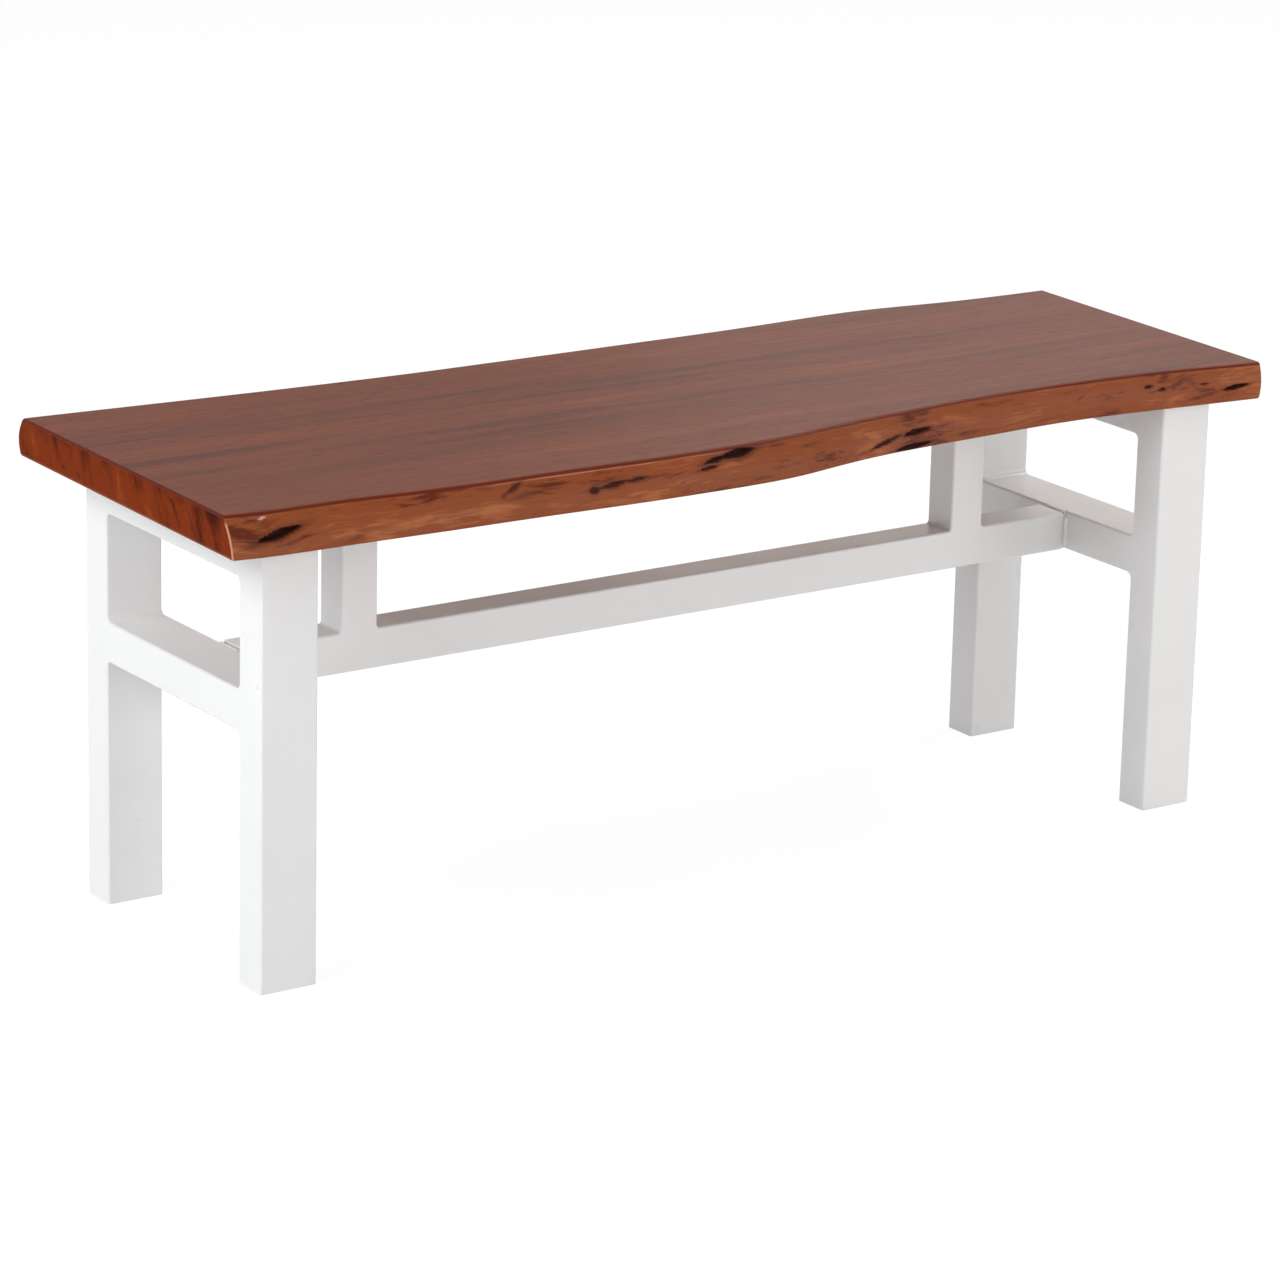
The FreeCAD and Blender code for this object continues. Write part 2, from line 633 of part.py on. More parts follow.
def weld_nut():
    """A hexagon nut, its lower face at Z = 0."""
    body = doc.addObject("PartDesign::Body", "weld_nut")
    outline = new_sketch(body, "outline", "XY_Plane")
    polygon(outline, hexagon("nut_size"))
    pad(body, outline, "nut", "nut_height")
    bore = new_sketch(body, "bore", "XY_Plane")
    circle(bore, "bore", "0", "0", "bolt_shank / 2 + thread_clearance")
    pocket(body, bore, "thread_bore", "nut_height + cut_overrun")
    return body


def fastener_group(node, master, places, height):
    """Copies of one fastener at X and Y places, all at one height, as one node."""
    copies = []
    for number, (x, y) in enumerate(places):
        copy = doc.addObject("App::Link", f"{node}_{number}")
        copy.LinkedObject = master
        bind(copy, x=x, y=y, z=height)
        copies.append(copy)
    group = doc.addObject("Part::Compound", node)
    group.Links = copies
    return keep(group, node)


def make_fasteners():
    screw = wood_screw()
    for side_name, side in SIDES.items():
        places = rail_screw_places(side)
        fastener_group(f"rail_screws_{side_name}", screw, places, f"{FRAME_TOP} - tube_wall")
    fastener_group("plate_screws", screw, plate_screw_places(), PLATE_UNDERSIDE)
    places = [(signed(side, BOLT_X), "0") for side in SIDES.values()]
    fastener_group("stretcher_bolts", socket_bolt(), places, "lower_level")
    fastener_group("spigot_nuts", weld_nut(), places, f"{SPIGOT_FLOOR} + spigot_wall")


def make_glide(side_name, face_name):
    """A moulded insert that closes the foot of a leg, open towards the leg's inside."""
    body = new_body(f"glide_{side_name}_{face_name}")
    width = "leg_width - 2 * tube_wall - 2 * glide_clearance"
    depth = "leg_depth - 2 * tube_wall - 2 * glide_clearance"
    outline = new_sketch(body, "outline", "XY_Plane")
    rectangle(outline, "outer", width, depth)
    pad(body, outline, "block", "glide_height")
    hollow = new_sketch(body, "hollow", "XY_Plane", "glide_floor")
    rectangle(hollow, "inner", f"{width} - 2 * glide_wall", f"{depth} - 2 * glide_wall")
    pocket(body, hollow, "hollow_cut", "glide_height")
    bind(body, x=signed(SIDES[side_name], LEG_X), y=signed(FACES[face_name], LEG_Y))


make_seat()
for side_name in SIDES:
    for face_name in FACES:
        make_leg(side_name, face_name)
        make_glide(side_name, face_name)
    make_crossrail(side_name)
    make_top_rail(side_name)
    make_post(side_name)
    make_post_plate(side_name)
    make_spigot(side_name)
    make_frame_welds(side_name)
make_stretcher()
make_stretcher_welds()
make_fasteners()
doc.recompute()

failed = [thing.Name for thing in doc.Objects if "Invalid" in thing.State or "Error" in thing.State]
if failed:
    raise RuntimeError("not computed: " + ", ".join(failed))
for thing in nodes:
    if thing.Shape.isNull() or not thing.Shape.isValid() or not thing.Shape.Solids:
        raise RuntimeError("no valid solid: " + thing.Label)

os.makedirs("parts", exist_ok=True)
for thing in nodes:
    thing.Shape.exportStep(f"parts/{thing.Label}.step")
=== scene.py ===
import math

import bpy
from bpy.props import FloatProperty, FloatVectorProperty, IntProperty, PointerProperty
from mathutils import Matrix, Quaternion, Vector, noise


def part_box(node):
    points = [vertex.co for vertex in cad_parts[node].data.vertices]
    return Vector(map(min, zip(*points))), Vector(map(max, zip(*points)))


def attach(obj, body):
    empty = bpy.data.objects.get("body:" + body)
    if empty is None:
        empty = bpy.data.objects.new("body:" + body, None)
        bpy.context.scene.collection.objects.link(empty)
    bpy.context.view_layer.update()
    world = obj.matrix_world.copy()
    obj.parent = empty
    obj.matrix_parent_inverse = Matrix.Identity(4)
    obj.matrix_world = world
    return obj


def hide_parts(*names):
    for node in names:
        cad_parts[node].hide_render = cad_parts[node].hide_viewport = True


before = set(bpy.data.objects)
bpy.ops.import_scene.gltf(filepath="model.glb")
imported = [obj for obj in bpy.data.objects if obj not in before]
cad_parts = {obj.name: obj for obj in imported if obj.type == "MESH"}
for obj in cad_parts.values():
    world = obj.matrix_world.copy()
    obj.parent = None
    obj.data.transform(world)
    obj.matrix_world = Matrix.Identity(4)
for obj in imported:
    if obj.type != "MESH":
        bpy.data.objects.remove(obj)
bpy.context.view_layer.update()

bl_info = {
    "name": "Live edge bench",
    "version": (1, 0, 0),
    "blender": (4, 5, 0),
    "location": "View3D > Sidebar > Bench",
    "description": "Dresses the packed live edge bench: boards, welded frame, fixings and stage",
    "category": "Object",
}

MM = 0.001
# The tolerance of tests on places.
HAIR = 0.01 * MM
# How far the seat's band stops short of the top and the underside.
RIM = 0.1 * MM
# How far a cutter reaches past what it cuts.
BEYOND = 20 * MM
# How far the band stands off the outline before it is laid on it, and how much further inside
# the wood its corners are rounded, so that they meet the leaning edge at every height.
STAND_OFF, LEAN = 10 * MM, 28 * MM
# The band's parts: round a corner, along the back (squared), along an end, and upwards.
CORNER_PARTS, BACK_COLUMNS, END_PARTS, ROWS = 120, 24, 96, 36
# The level margin round the top and the underside.
MARGIN = 1 * MM
# Radii: inside bores and wells, and at the eased edges of spigots, plates and glides.
INNER_ROUND, SPIGOT_EDGE, PLATE_EDGE, GLIDE_EDGE = 1 * MM, 0.3 * MM, 0.5 * MM, 0.35 * MM
# The glides: radius of the upright corners, thickness of the floor, depth of the recess.
GLIDE_CORNER, GLIDE_FLOOR, GLIDE_RECESS = 1.2 * MM, 4 * MM, 1.2 * MM
# How far the heads of screws and bolts are rounded.
SCREW_DOME, BOLT_DOME = 0.9 * MM, 2.6 * MM
# The cross recess of the wood screws: half its length, half its width, and its depth.
CROSS_REACH, CROSS_HALF, CROSS_DEPTH = 3.1 * MM, 0.7 * MM, 1.9 * MM
# The weld beads: spacing of their rings, length of a ripple, and how soon their ends close.
BEAD_STEP, BEAD_RIPPLE, BEAD_CLOSE = 0.5 * MM, 2.2 * MM, 2.5 * MM
# The floor's size and the level way from the camera to the wall of light behind the bench.
FLOOR_SIZE = 80
BEHIND = (0.72, 0.69, 0)

SEAT_LOW = Vector(map(min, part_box("seat_board_front")[0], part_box("seat_board_back")[0]))
SEAT_HIGH = Vector(map(max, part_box("seat_board_front")[1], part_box("seat_board_back")[1]))
GLUE_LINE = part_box("seat_board_front")[1][1]
BOARDS = ("seat_board_front", "seat_board_back")
SIDES = {"left": -1, "right": 1}

# Along the seat: where the shade under the left part's arris begins and where it is full, the
# middle and half length of the glint, and the left front corner that catches the light.
SHADE_START, SHADE_FULL = -250 * MM, -450 * MM
GLINT_MIDDLE, GLINT_REACH = -170 * MM, 240 * MM
CORNER_X, CORNER_Y = -550 * MM, -150 * MM

# What the seat's mesh notes at its points, for its wood.
NOTES = ("live", "end", "stain", "hollow", "chip")

# The open knots and cracks of the two live edges, read off the photograph for the front one
# and made up in the same manner for the hidden back one. In millimetres along the seat and up
# from the floor: middle, half length and half height, then the tilt in degrees, the depth in
# millimetres and how dark the place is.
FRONT_MARKS = (
    (-556, 448.5, 27, 4.4, 11, 7.0, 1.00),
    (-552, 449.0, 33, 6.5, 14, 0.8, 0.35),
    (-535, 455.0, 12, 2.6, 20, 0.4, 0.40),
    (-586, 440.5, 11, 3.0, 10, 0.3, 0.55),
    (-479, 436.5, 14, 2.6, 12, 0.3, 0.50),
    (-311, 460.0, 12, 3.1, 24, 1.2, 0.62),
    (-323, 454.5, 6, 2.0, 30, 0.6, 0.70),
    (-300, 452.5, 27, 3.2, 6, 0.3, 0.55),
    (-228, 448.0, 8, 4.2, 0, 1.4, 0.66),
    (-207, 450.5, 20, 3.4, 7, 1.8, 0.66),
    (-181, 452.6, 17, 2.1, 5, 1.2, 0.66),
    (-112, 452.0, 2.5, 1.3, 0, 0.8, 0.80),
    (-131, 444.0, 3.0, 1.2, 0, 0.8, 0.60),
    (-63, 461.3, 24, 4.8, 5, 5.0, 1.00),
    (-91, 458.6, 15, 3.0, 8, 3.0, 1.00),
    (-100, 452.4, 15, 2.0, 5, 2.5, 0.75),
    (26, 457.0, 15, 2.2, 2, 0.4, 0.50),
    (126, 443.2, 27, 3.0, 12, 1.2, 0.75),
    (168, 447.4, 22, 3.3, 4, 4.5, 0.80),
    (162, 434.0, 28, 3.6, 3, 3.5, 0.85),
    (200, 448.5, 12, 2.4, 4, 0.4, 0.60),
    (233, 437.0, 20, 2.4, 6, 0.3, 0.35),
    (332, 436.0, 14, 2.2, 6, 0.3, 0.45),
    (378, 453.0, 12, 1.0, 26, 0.5, 0.60),
    (410, 449.0, 7, 1.2, 26, 0.8, 0.70),
    (461, 455.0, 7, 2.2, 4, 1.8, 0.72),
    (477, 451.0, 6, 2.0, 8, 1.6, 0.72),
    (526, 452.0, 7, 1.5, 4, 1.2, 0.66),
    (530, 441.0, 22, 2.0, 10, 0.6, 0.65),
    (563, 446.0, 18, 2.5, 6, 4.0, 1.00),
)
BACK_MARKS = (
    (-498, 452.0, 26, 3.2, -8, 4.0, 1.00),
    (-470, 447.0, 12, 2.0, -4, 1.0, 0.70),
    (-352, 440.0, 18, 2.2, 9, 0.5, 0.50),
    (-181, 456.0, 9, 2.6, 12, 2.0, 0.90),
    (-20, 446.0, 30, 2.4, -5, 0.6, 0.55),
    (118, 451.0, 20, 3.6, 8, 4.0, 1.00),
    (146, 455.0, 14, 2.0, 6, 1.5, 0.80),
    (305, 441.0, 10, 2.0, 0, 1.2, 0.80),
    (428, 449.0, 24, 3.0, -10, 3.0, 0.95),
)

# The dark knots of the left sawn end, in millimetres across the seat and up from the floor.
END_MARKS = (
    (-90, 455.0, 11, 3.2, 62, 1.00),
    (-97, 445.0, 10, 2.4, 66, 0.90),
    (-84, 459.0, 8, 2.2, 20, 0.80),
    (-126, 443.0, 17, 3.0, 60, 0.65),
    (-147, 452.0, 12, 2.2, 70, 0.50),
    (-60, 447.0, 12, 2.6, 78, 0.45),
    (54, 452.0, 12, 2.2, 96, 0.50),
    (96, 439.0, 6, 5.0, 10, 0.60),
    (128, 441.0, 5, 4.0, 30, 0.60),
    (164, 458.0, 7, 2.0, 75, 0.50),
)
# A small pale chip, a flat spot of colour: along the seat and up, half length and height, tilt.
CHIP = (-569, 463.0, 6, 1.1, 8)

# The lamps: name, place and size in metres, and tint. Their powers are settings of the stage.
COOL, WARM = (0.97, 0.985, 1.0), (1.0, 0.98, 0.96)
LAMPS = (
    ("key", (-4.6, -1.3, 4.0), 2.6, COOL),
    ("left", (-4.6, 0.4, 3.6), 2.4, COOL),
    ("low", (-3.6, -1.2, 1.2), 1.6, COOL),
    ("front", (0.6, -4.6, 1.4), 2.0, WARM),
    ("right", (2.4, -2.8, 0.9), 1.6, WARM),
    ("side", (3.6, 0.4, 3.4), 2.0, WARM),
    ("sheen", (1.75, 1.65, 1.08), 1.1, WARM),
)


def screen(red, green, blue):
    """A colour as a screen shows it, 0 to 255, as the shaders' linear numbers."""
    return tuple(((value / 255 + 0.055) / 1.055) ** 2.4 for value in (red, green, blue))


def length(name, description, default):
    return FloatProperty(name=name, description=description, default=default, min=0, unit="LENGTH")


def power(name, description, default):
    return FloatProperty(name=name, description=description, default=default, min=0, unit="POWER")


def colour(name, description, red, green, blue):
    return FloatVectorProperty(
        name=name, description=description, default=screen(red, green, blue), subtype="COLOR",
        min=0, max=1)


class BenchSizes(bpy.types.PropertyGroup):
    """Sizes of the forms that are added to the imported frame."""

    corner_round: length("Corner round", "Radius of the seat's four upright corners", 4 * MM)
    edge_relief: length("Edge relief", "Depth of the ripple in the live edges", 0.9 * MM)
    tube_corner: length("Tube corner", "Outside radius of the box sections", 3 * MM)
    tube_wall: length("Tube wall", "Wall of the box sections", 2 * MM)
    weld_round: length("Weld round", "Radius of the dressed welds of the end frames", 6 * MM)
    foot_round: length("Foot round", "Radius of the dressed welds at the posts' feet", 3 * MM)
    bead_radius: length("Bead radius", "Radius of a weld bead that is left as laid", 3.4 * MM)
    spigot_wall: length("Spigot wall", "Wall of the two spigots", 2.5 * MM)
    tool_hole: length("Tool hole", "Diameter of the holes under the top rails", 20 * MM)
    slot_travel: length("Slot travel", "How far a screw can travel in its slot", 8 * MM)
    screw_shank: length("Screw shank", "Diameter of the wood screws", 6 * MM)
    screw_head: length("Screw head", "Height of the wood screws' heads", 2.6 * MM)
    bolt_shank: length("Bolt shank", "Diameter of the bolts under the stretcher", 8 * MM)
    bolt_head: length("Bolt head", "Height of the bolts' heads", 4.4 * MM)
    socket_width: length("Socket width", "Width across the flats of the bolts' sockets", 5 * MM)
    plate_corner: length("Plate corner", "Radius of the mounting plates' corners", 3 * MM)
    glide_wall: length("Glide wall", "Wall of the moulded glides", 2.5 * MM)
    columns: IntProperty(
        name="Columns", description="Square root of the number of columns on the front edge",
        default=34, min=4, max=60)


class BenchColours(bpy.types.PropertyGroup):
    """Colours of the finishes."""

    heart: colour("Heartwood", "Middle tone of the top", 125, 69, 53)
    streak: colour("Dark streak", "Darker bands of the grain", 99, 59, 50)
    pale: colour("Pale streak", "Lighter bands of the grain", 139, 78, 57)
    glow: colour("Glowing streak", "Thin orange streaks of the grain", 156, 83, 49)
    edge: colour("Live edge", "Middle tone of the live edges", 138, 70, 36)
    edge_pale: colour("Pale edge", "Lightest patches of the live edges", 166, 95, 54)
    edge_dark: colour("Dark edge", "Darker patches of the live edges", 92, 38, 20)
    end: colour("End grain", "Middle tone of the sawn ends", 118, 45, 12)
    end_dark: colour("Dark end grain", "Dark flames of the sawn ends", 62, 19, 6)
    end_pale: colour("Pale end grain", "Bright flames of the sawn ends", 142, 64, 22)
    # Painted shade: the dark reflection of the rounded upper arris, laid into the colour.
    arris: colour("Arris", "The line of lacquer round the upper edge", 98, 27, 7)
    # Painted highlight: the glint under the upper edge and on the left front corner.
    glint: colour("Glint", "The thin light line under the upper edge", 206, 146, 120)
    # Near black in the sunk knots: partly the knots' dark wood, partly painted shade of the
    # hollows.
    hollow: colour("Hollow", "The bottom of the open knots", 42, 11, 5)
    stain: colour("Stain", "The wood round the open knots", 74, 28, 18)
    # A flat pale spot at the small chip on the front live edge.
    chip: colour("Chip", "The bare wood of a small chip", 206, 178, 158)
    powder: colour("Powder coat", "The white coat of the frame", 235, 235, 235)
    zinc: colour("Zinc", "Zinc plated fixings", 186, 188, 192)
    steel: colour("Steel", "Plain steel of the weld nuts", 120, 118, 114)
    plastic: colour("Plastic", "The moulded glides", 222, 222, 220)


class BenchStage(bpy.types.PropertyGroup):
    """The camera, the lamps and the floor."""

    eye: FloatVectorProperty(
        name="Eye", description="Place of the camera", default=(-2.8407, -4.0577, 1.7024),
        subtype="TRANSLATION", unit="LENGTH")
    aim: FloatVectorProperty(
        name="Aim", description="Direction the camera looks in",
        default=(0.54587, 0.78691, -0.28773), subtype="DIRECTION")
    roll: FloatProperty(
        name="Roll", description="Turn of the camera about its line of sight",
        default=math.radians(1.377), subtype="ANGLE")
    lens: FloatProperty(
        name="Lens", description="Focal length", default=147.13, min=1, unit="CAMERA")
    key_power: power("Key power", "Power of the high lamp at the left front", 66)
    left_power: power("Left power", "Power of the lamp at the left", 92)
    low_power: power("Low power", "Power of the low lamp at the left front", 34)
    front_power: power("Front power", "Power of the low lamp in front", 40)
    right_power: power("Right power", "Power of the low lamp at the right front", 24)
    side_power: power("Side power", "Power of the lamp beyond the right end", 70)
    sheen_power: power("Sheen power", "Power of the small lamp that the top mirrors", 1.7)
    sky: FloatProperty(
        name="Sky", description="Strength of the even light all round", default=0.30, min=0)
    backdrop: FloatProperty(
        name="Backdrop", description="What the wall of light behind the bench adds to the sky",
        default=0.26, min=0)


def alone(piece):
    """Select one object and nothing else, and make it the active one."""
    for other in list(bpy.context.selected_objects):
        other.select_set(False)
    piece.select_set(True)
    bpy.context.view_layer.objects.active = piece


def places(mesh, kind):
    """Each vertex, edge or face as its middle and its normal or, for an edge, its run."""
    if kind == "EDGE":
        for edge in mesh.edges:
            start, end = (mesh.vertices[index].co for index in edge.vertices)
            yield (start + end) / 2, end - start
    elif kind == "FACE":
        for face in mesh.polygons:
            yield face.center, face.normal
    else:
        for vertex in mesh.vertices:
            yield vertex.co, vertex.normal


def pick(piece, kind, test=lambda middle, way: True):
    """Go into edit mode with only what passes the test selected."""
    alone(piece)
    bpy.ops.object.mode_set(mode="EDIT")
    bpy.ops.mesh.select_mode(type=kind)
    bpy.ops.mesh.select_all(action="DESELECT")
    bpy.ops.object.mode_set(mode="OBJECT")
    mesh = piece.data
    found = {"VERT": mesh.vertices, "EDGE": mesh.edges, "FACE": mesh.polygons}[kind]
    found.foreach_set("select", [bool(test(*place)) for place in places(mesh, kind)])
    bpy.ops.object.mode_set(mode="EDIT")


def leave():
    """Back to object mode."""
    bpy.ops.object.mode_set(mode="OBJECT")


def work(piece, kind, **settings):
    """Add a modifier, set it and apply it."""
    alone(piece)
    bpy.ops.object.modifier_add(type=kind)
    change = piece.modifiers[-1]
    for key, value in settings.items():
        setattr(change, key, value)
    bpy.ops.object.modifier_apply(modifier=change.name)


def block(name, low, high):
    """A box between two corners, with its place in its mesh."""
    low, high = Vector(low), Vector(high)
    bpy.ops.mesh.primitive_cube_add(size=1, location=(low + high) / 2)
    piece = bpy.context.object
    piece.name = name
    piece.scale = high - low
    alone(piece)
    bpy.ops.object.transform_apply(location=True, rotation=True, scale=True)
    return piece


def rod(name, middle, radius, depth, sides=32, turn=(0, 0, 0)):
    """A round or many-sided bar, upright unless it is turned, with its place in its mesh."""
    bpy.ops.mesh.primitive_cylinder_add(
        vertices=sides, radius=radius, depth=depth, location=middle, rotation=turn)
    piece = bpy.context.object
    piece.name = name
    alone(piece)
    bpy.ops.object.transform_apply(location=True, rotation=True, scale=True)
    return piece


def soften(piece, axis, width, segments=4, test=lambda middle: True):
    """Round the edges that run along one axis."""
    def along(middle, run):
        return abs(run.normalized()[axis]) > 0.999 and test(middle)
    pick(piece, "EDGE", along)
    bpy.ops.mesh.bevel(offset=width, segments=segments, affect="EDGES")
    leave()


def ease(piece, width, segments=2, angle=60):
    """Round every edge that is sharper than an angle."""
    work(piece, "BEVEL", limit_method="ANGLE", angle_limit=math.radians(angle), width=width,
         segments=segments)


def cut(piece, cutter):
    """Take the cutter's shape out of the piece."""
    work(piece, "BOOLEAN", operation="DIFFERENCE", solver="EXACT", object=cutter)
    bpy.data.objects.remove(cutter)


def cut_block(piece, low, high, axis=2, width=0.0, segments=3, test=lambda middle: True):
    """Take a box out of the piece, with its edges along one axis rounded."""
    hole = block("Hole", low, high)
    if width:
        soften(hole, axis, width, segments, test)
    cut(piece, hole)


def saw(piece, place, normal):
    """Saw the piece at a plane, close the cut and drop the side that the normal points to."""
    pick(piece, "FACE")
    bpy.ops.mesh.bisect(plane_co=place, plane_no=normal, use_fill=True, clear_outer=True)
    leave()


def copy_of(piece, name):
    """A copy with its own mesh."""
    twin = piece.copy()
    twin.data = piece.data.copy()
    twin.name = name
    bpy.context.collection.objects.link(twin)
    return twin


def join(name, pieces):
    """One object from several."""
    alone(pieces[0])
    for piece in pieces:
        piece.select_set(True)
    bpy.ops.object.join()
    pieces[0].name = name
    return pieces[0]


def bolt_places():
    """Where the two bolts stand along the bench."""
    low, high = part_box("stretcher_bolts")
    radius = (high[1] - low[1]) / 2
    return low[0] + radius, high[0] - radius


def plate_places(side):
    """Where the two screws of a mounting plate stand along the bench."""
    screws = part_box("plate_screws")
    last = screws[1][0] - (screws[1][1] - screws[0][1]) / 2
    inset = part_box("post_plate_right")[1][0] - last
    low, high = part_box(f"post_plate_{side}")
    return low[0] + inset, high[0] - inset


def finish(piece, nodes, slot, *materials, angle=35):
    """Shade a piece, give it its materials and put it in the place of its CAD nodes."""
    piece.name = nodes[0] + "_finished"
    alone(piece)
    bpy.ops.object.shade_smooth_by_angle(angle=math.radians(angle))
    work(piece, "WEIGHTED_NORMAL", keep_sharp=True)
    if not piece.data.materials:
        for material in materials:
            piece.data.materials.append(material)
    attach(piece, "root")
    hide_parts(*nodes)


def add(tree, kind, inputs=None, **settings):
    """Add a node, set its options, and give its sockets numbers or links."""
    made = tree.nodes.new(kind)
    for key, value in settings.items():
        setattr(made, key, value)
    for key, value in (inputs or {}).items():
        if isinstance(value, bpy.types.NodeSocket):
            tree.links.new(value, made.inputs[key])
        else:
            made.inputs[key].default_value = value
    return made


def maths(operation, *values):
    """The result of a Math node, in the tree that its first value belongs to."""
    return add(values[0].id_data, "ShaderNodeMath", dict(enumerate(values)),
               operation=operation).outputs[0]


def times(product, *factors):
    """Values multiplied in turn, with each product kept between 0 and 1."""
    for factor in factors:
        product = maths("MULTIPLY", product, factor)
        product.node.use_clamp = True
    return product


def weighed(*parts):
    """The sum of values, each times its share."""
    total = 0.0
    for value, share in parts:
        total = maths("MULTIPLY_ADD", value, share, total)
    return total


def away(value, place):
    """How far a value is from a place."""
    return maths("ABSOLUTE", maths("SUBTRACT", value, place))


def spread(value, low, high, start=0.0, end=1.0):
    """A value between two limits, stretched to other two."""
    return add(value.id_data, "ShaderNodeMapRange", {
        "Value": value, "From Min": low, "From Max": high, "To Min": start,
        "To Max": end}).outputs[0]


def mixed(factor, first, second):
    """Two colours mixed by a factor."""
    tree = factor.id_data
    made = tree.nodes.new("ShaderNodeMix")
    made.data_type = "RGBA"
    for index, value in ((0, factor), (6, first), (7, second)):
        if isinstance(value, bpy.types.NodeSocket):
            tree.links.new(value, made.inputs[index])
        else:
            made.inputs[index].default_value = (*value, 1)
    return made.outputs[2]


def ramp(factor, *stops):
    """A colour ramp from (place, colour) stops."""
    made = add(factor.id_data, "ShaderNodeValToRGB", {"Fac": factor})
    keys = made.color_ramp.elements
    while len(keys) < len(stops):
        keys.new(0.5)
    for key, (place, shade) in zip(keys, stops):
        key.position = place
        key.color = (*shade, 1)
    return made.outputs[0]


def clouds(place, scale, detail, rough, shift=(0, 0, 0)):
    """Noise at so many features per metre along each axis."""
    tree = place.id_data
    laid = add(tree, "ShaderNodeMapping", {"Vector": place, "Scale": scale, "Location": shift})
    return add(tree, "ShaderNodeTexNoise", {
        "Vector": laid.outputs[0], "Scale": 1.0, "Detail": detail,
        "Roughness": rough}).outputs["Fac"]


def fresh(name, **sockets):
    """A new material, its shader and the object coordinates."""
    material = bpy.data.materials.new(name)
    material.use_nodes = True
    tree = material.node_tree
    shader = tree.nodes["Principled BSDF"]
    for key, value in sockets.items():
        shader.inputs[key.replace("_", " ")].default_value = value
    return material, shader, add(tree, "ShaderNodeTexCoord").outputs["Object"]


def feed(shader, height, depth, shade, rough):
    """Give a shader its relief, in metres, its colour and its roughness."""
    tree = shader.id_data
    relief = add(tree, "ShaderNodeBump", {"Height": height, "Distance": depth, "Strength": 1.0})
    for value, socket in ((relief.outputs[0], "Normal"), (shade, "Base Color"),
                          (rough, "Roughness")):
        tree.links.new(value, shader.inputs[socket])


def dimmed(shade, share):
    """A darker shade of a colour."""
    return tuple(part * share for part in shade)


def mark(place, name):
    """A number that the mesh carries at its points."""
    return add(place.id_data, "ShaderNodeAttribute", attribute_name=name).outputs["Fac"]


def leaned(place, angle):
    """Object coordinates turned about the bench's long axis."""
    return add(place.id_data, "ShaderNodeMapping", {
        "Vector": place, "Rotation": (math.radians(angle), 0, 0)}).outputs[0]


def wavy(place, pace, reach):
    """Object coordinates pushed sideways and up by slow waves, so that grain wanders."""
    aside = spread(clouds(place, (pace, 6, 6), 2, 0.5), 0.2, 0.8, -reach, reach)
    tree = place.id_data
    pushed = add(tree, "ShaderNodeCombineXYZ", {"Y": aside, "Z": aside})
    return add(tree, "ShaderNodeVectorMath", {0: place, 1: pushed.outputs[0]}).outputs[0]


def below_top(depth):
    """The height that lies so many millimetres below the seat's top."""
    return SEAT_HIGH.z - depth * MM


def heartwood(grain, fibres, pores, colours, shift):
    """The flat faces: soft bands, stripes, thin glowing streaks and dark pores."""
    bands = clouds(grain, (1.4, 27, 18), 3, 0.55, (shift, 0, 0))
    stripes = clouds(grain, (3.2, 120, 80), 3, 0.6, (shift, 0, 0))
    glows = clouds(grain, (7, 210, 160), 3, 0.5, (0, shift, 0))
    tone = weighed((bands, 0.50), (stripes, 0.24), (fibres, 0.26))
    shade = ramp(tone, (0.39, colours.streak), (0.49, colours.heart), (0.54, colours.heart),
                 (0.62, colours.pale))
    shade = mixed(spread(glows, 0.56, 0.70, 0, 0.45), shade, colours.glow)
    return mixed(times(pores, 0.50), shade, colours.stain)


def live_edge(place, axes, colours, shift):
    """The wood under the bark: mottled and fibrous, shaded under the arris at the left."""
    curl = wavy(place, 8, 5 * MM)
    mottle = clouds(curl, (11, 40, 46), 4, 0.55, (shift, 0, 0))
    fibres = clouds(curl, (34, 330, 330), 3, 0.6)
    shaded = times(spread(axes["Z"], below_top(13), below_top(3), 0, 0.045),
                   spread(axes["X"], SHADE_START, SHADE_FULL, 0.2, 1))
    tone = weighed((mottle, 0.68), (fibres, 0.32), (shaded, -1))
    return ramp(tone, (0.38, colours.edge_dark), (0.46, colours.edge), (0.54, colours.edge),
                (0.64, colours.edge_pale))


def sawn_end(place, axes, colours, shift):
    """End grain: slanting flames, painted shade under the arris, darker to the front, and a glue
    line.
    """
    sawn = leaned(wavy(place, 8, 14 * MM), 24)
    flames = clouds(sawn, (8, 38, 12), 4, 0.6, (shift, 0, 0))
    specks = clouds(sawn, (30, 420, 90), 3, 0.6)
    # Painted shade: the sawn end darkens towards the upper arris.
    shade_under_arris = spread(axes["Z"], below_top(14), below_top(1), 0, 0.08)
    darker_front = spread(axes["Y"], SEAT_LOW.y, GLUE_LINE, 0.09, 0.02)
    tone = weighed((flames, 0.78), (specks, 0.22), (shade_under_arris, -1), (darker_front, -1))
    shade = ramp(tone, (0.28, colours.end_dark), (0.45, colours.end), (0.52, colours.end),
                 (0.68, colours.end_pale))
    glue = spread(away(axes["Y"], GLUE_LINE), 1.2 * MM, 0.2 * MM, 0, 0.6)
    return mixed(times(glue, specks), shade, colours.edge_pale)


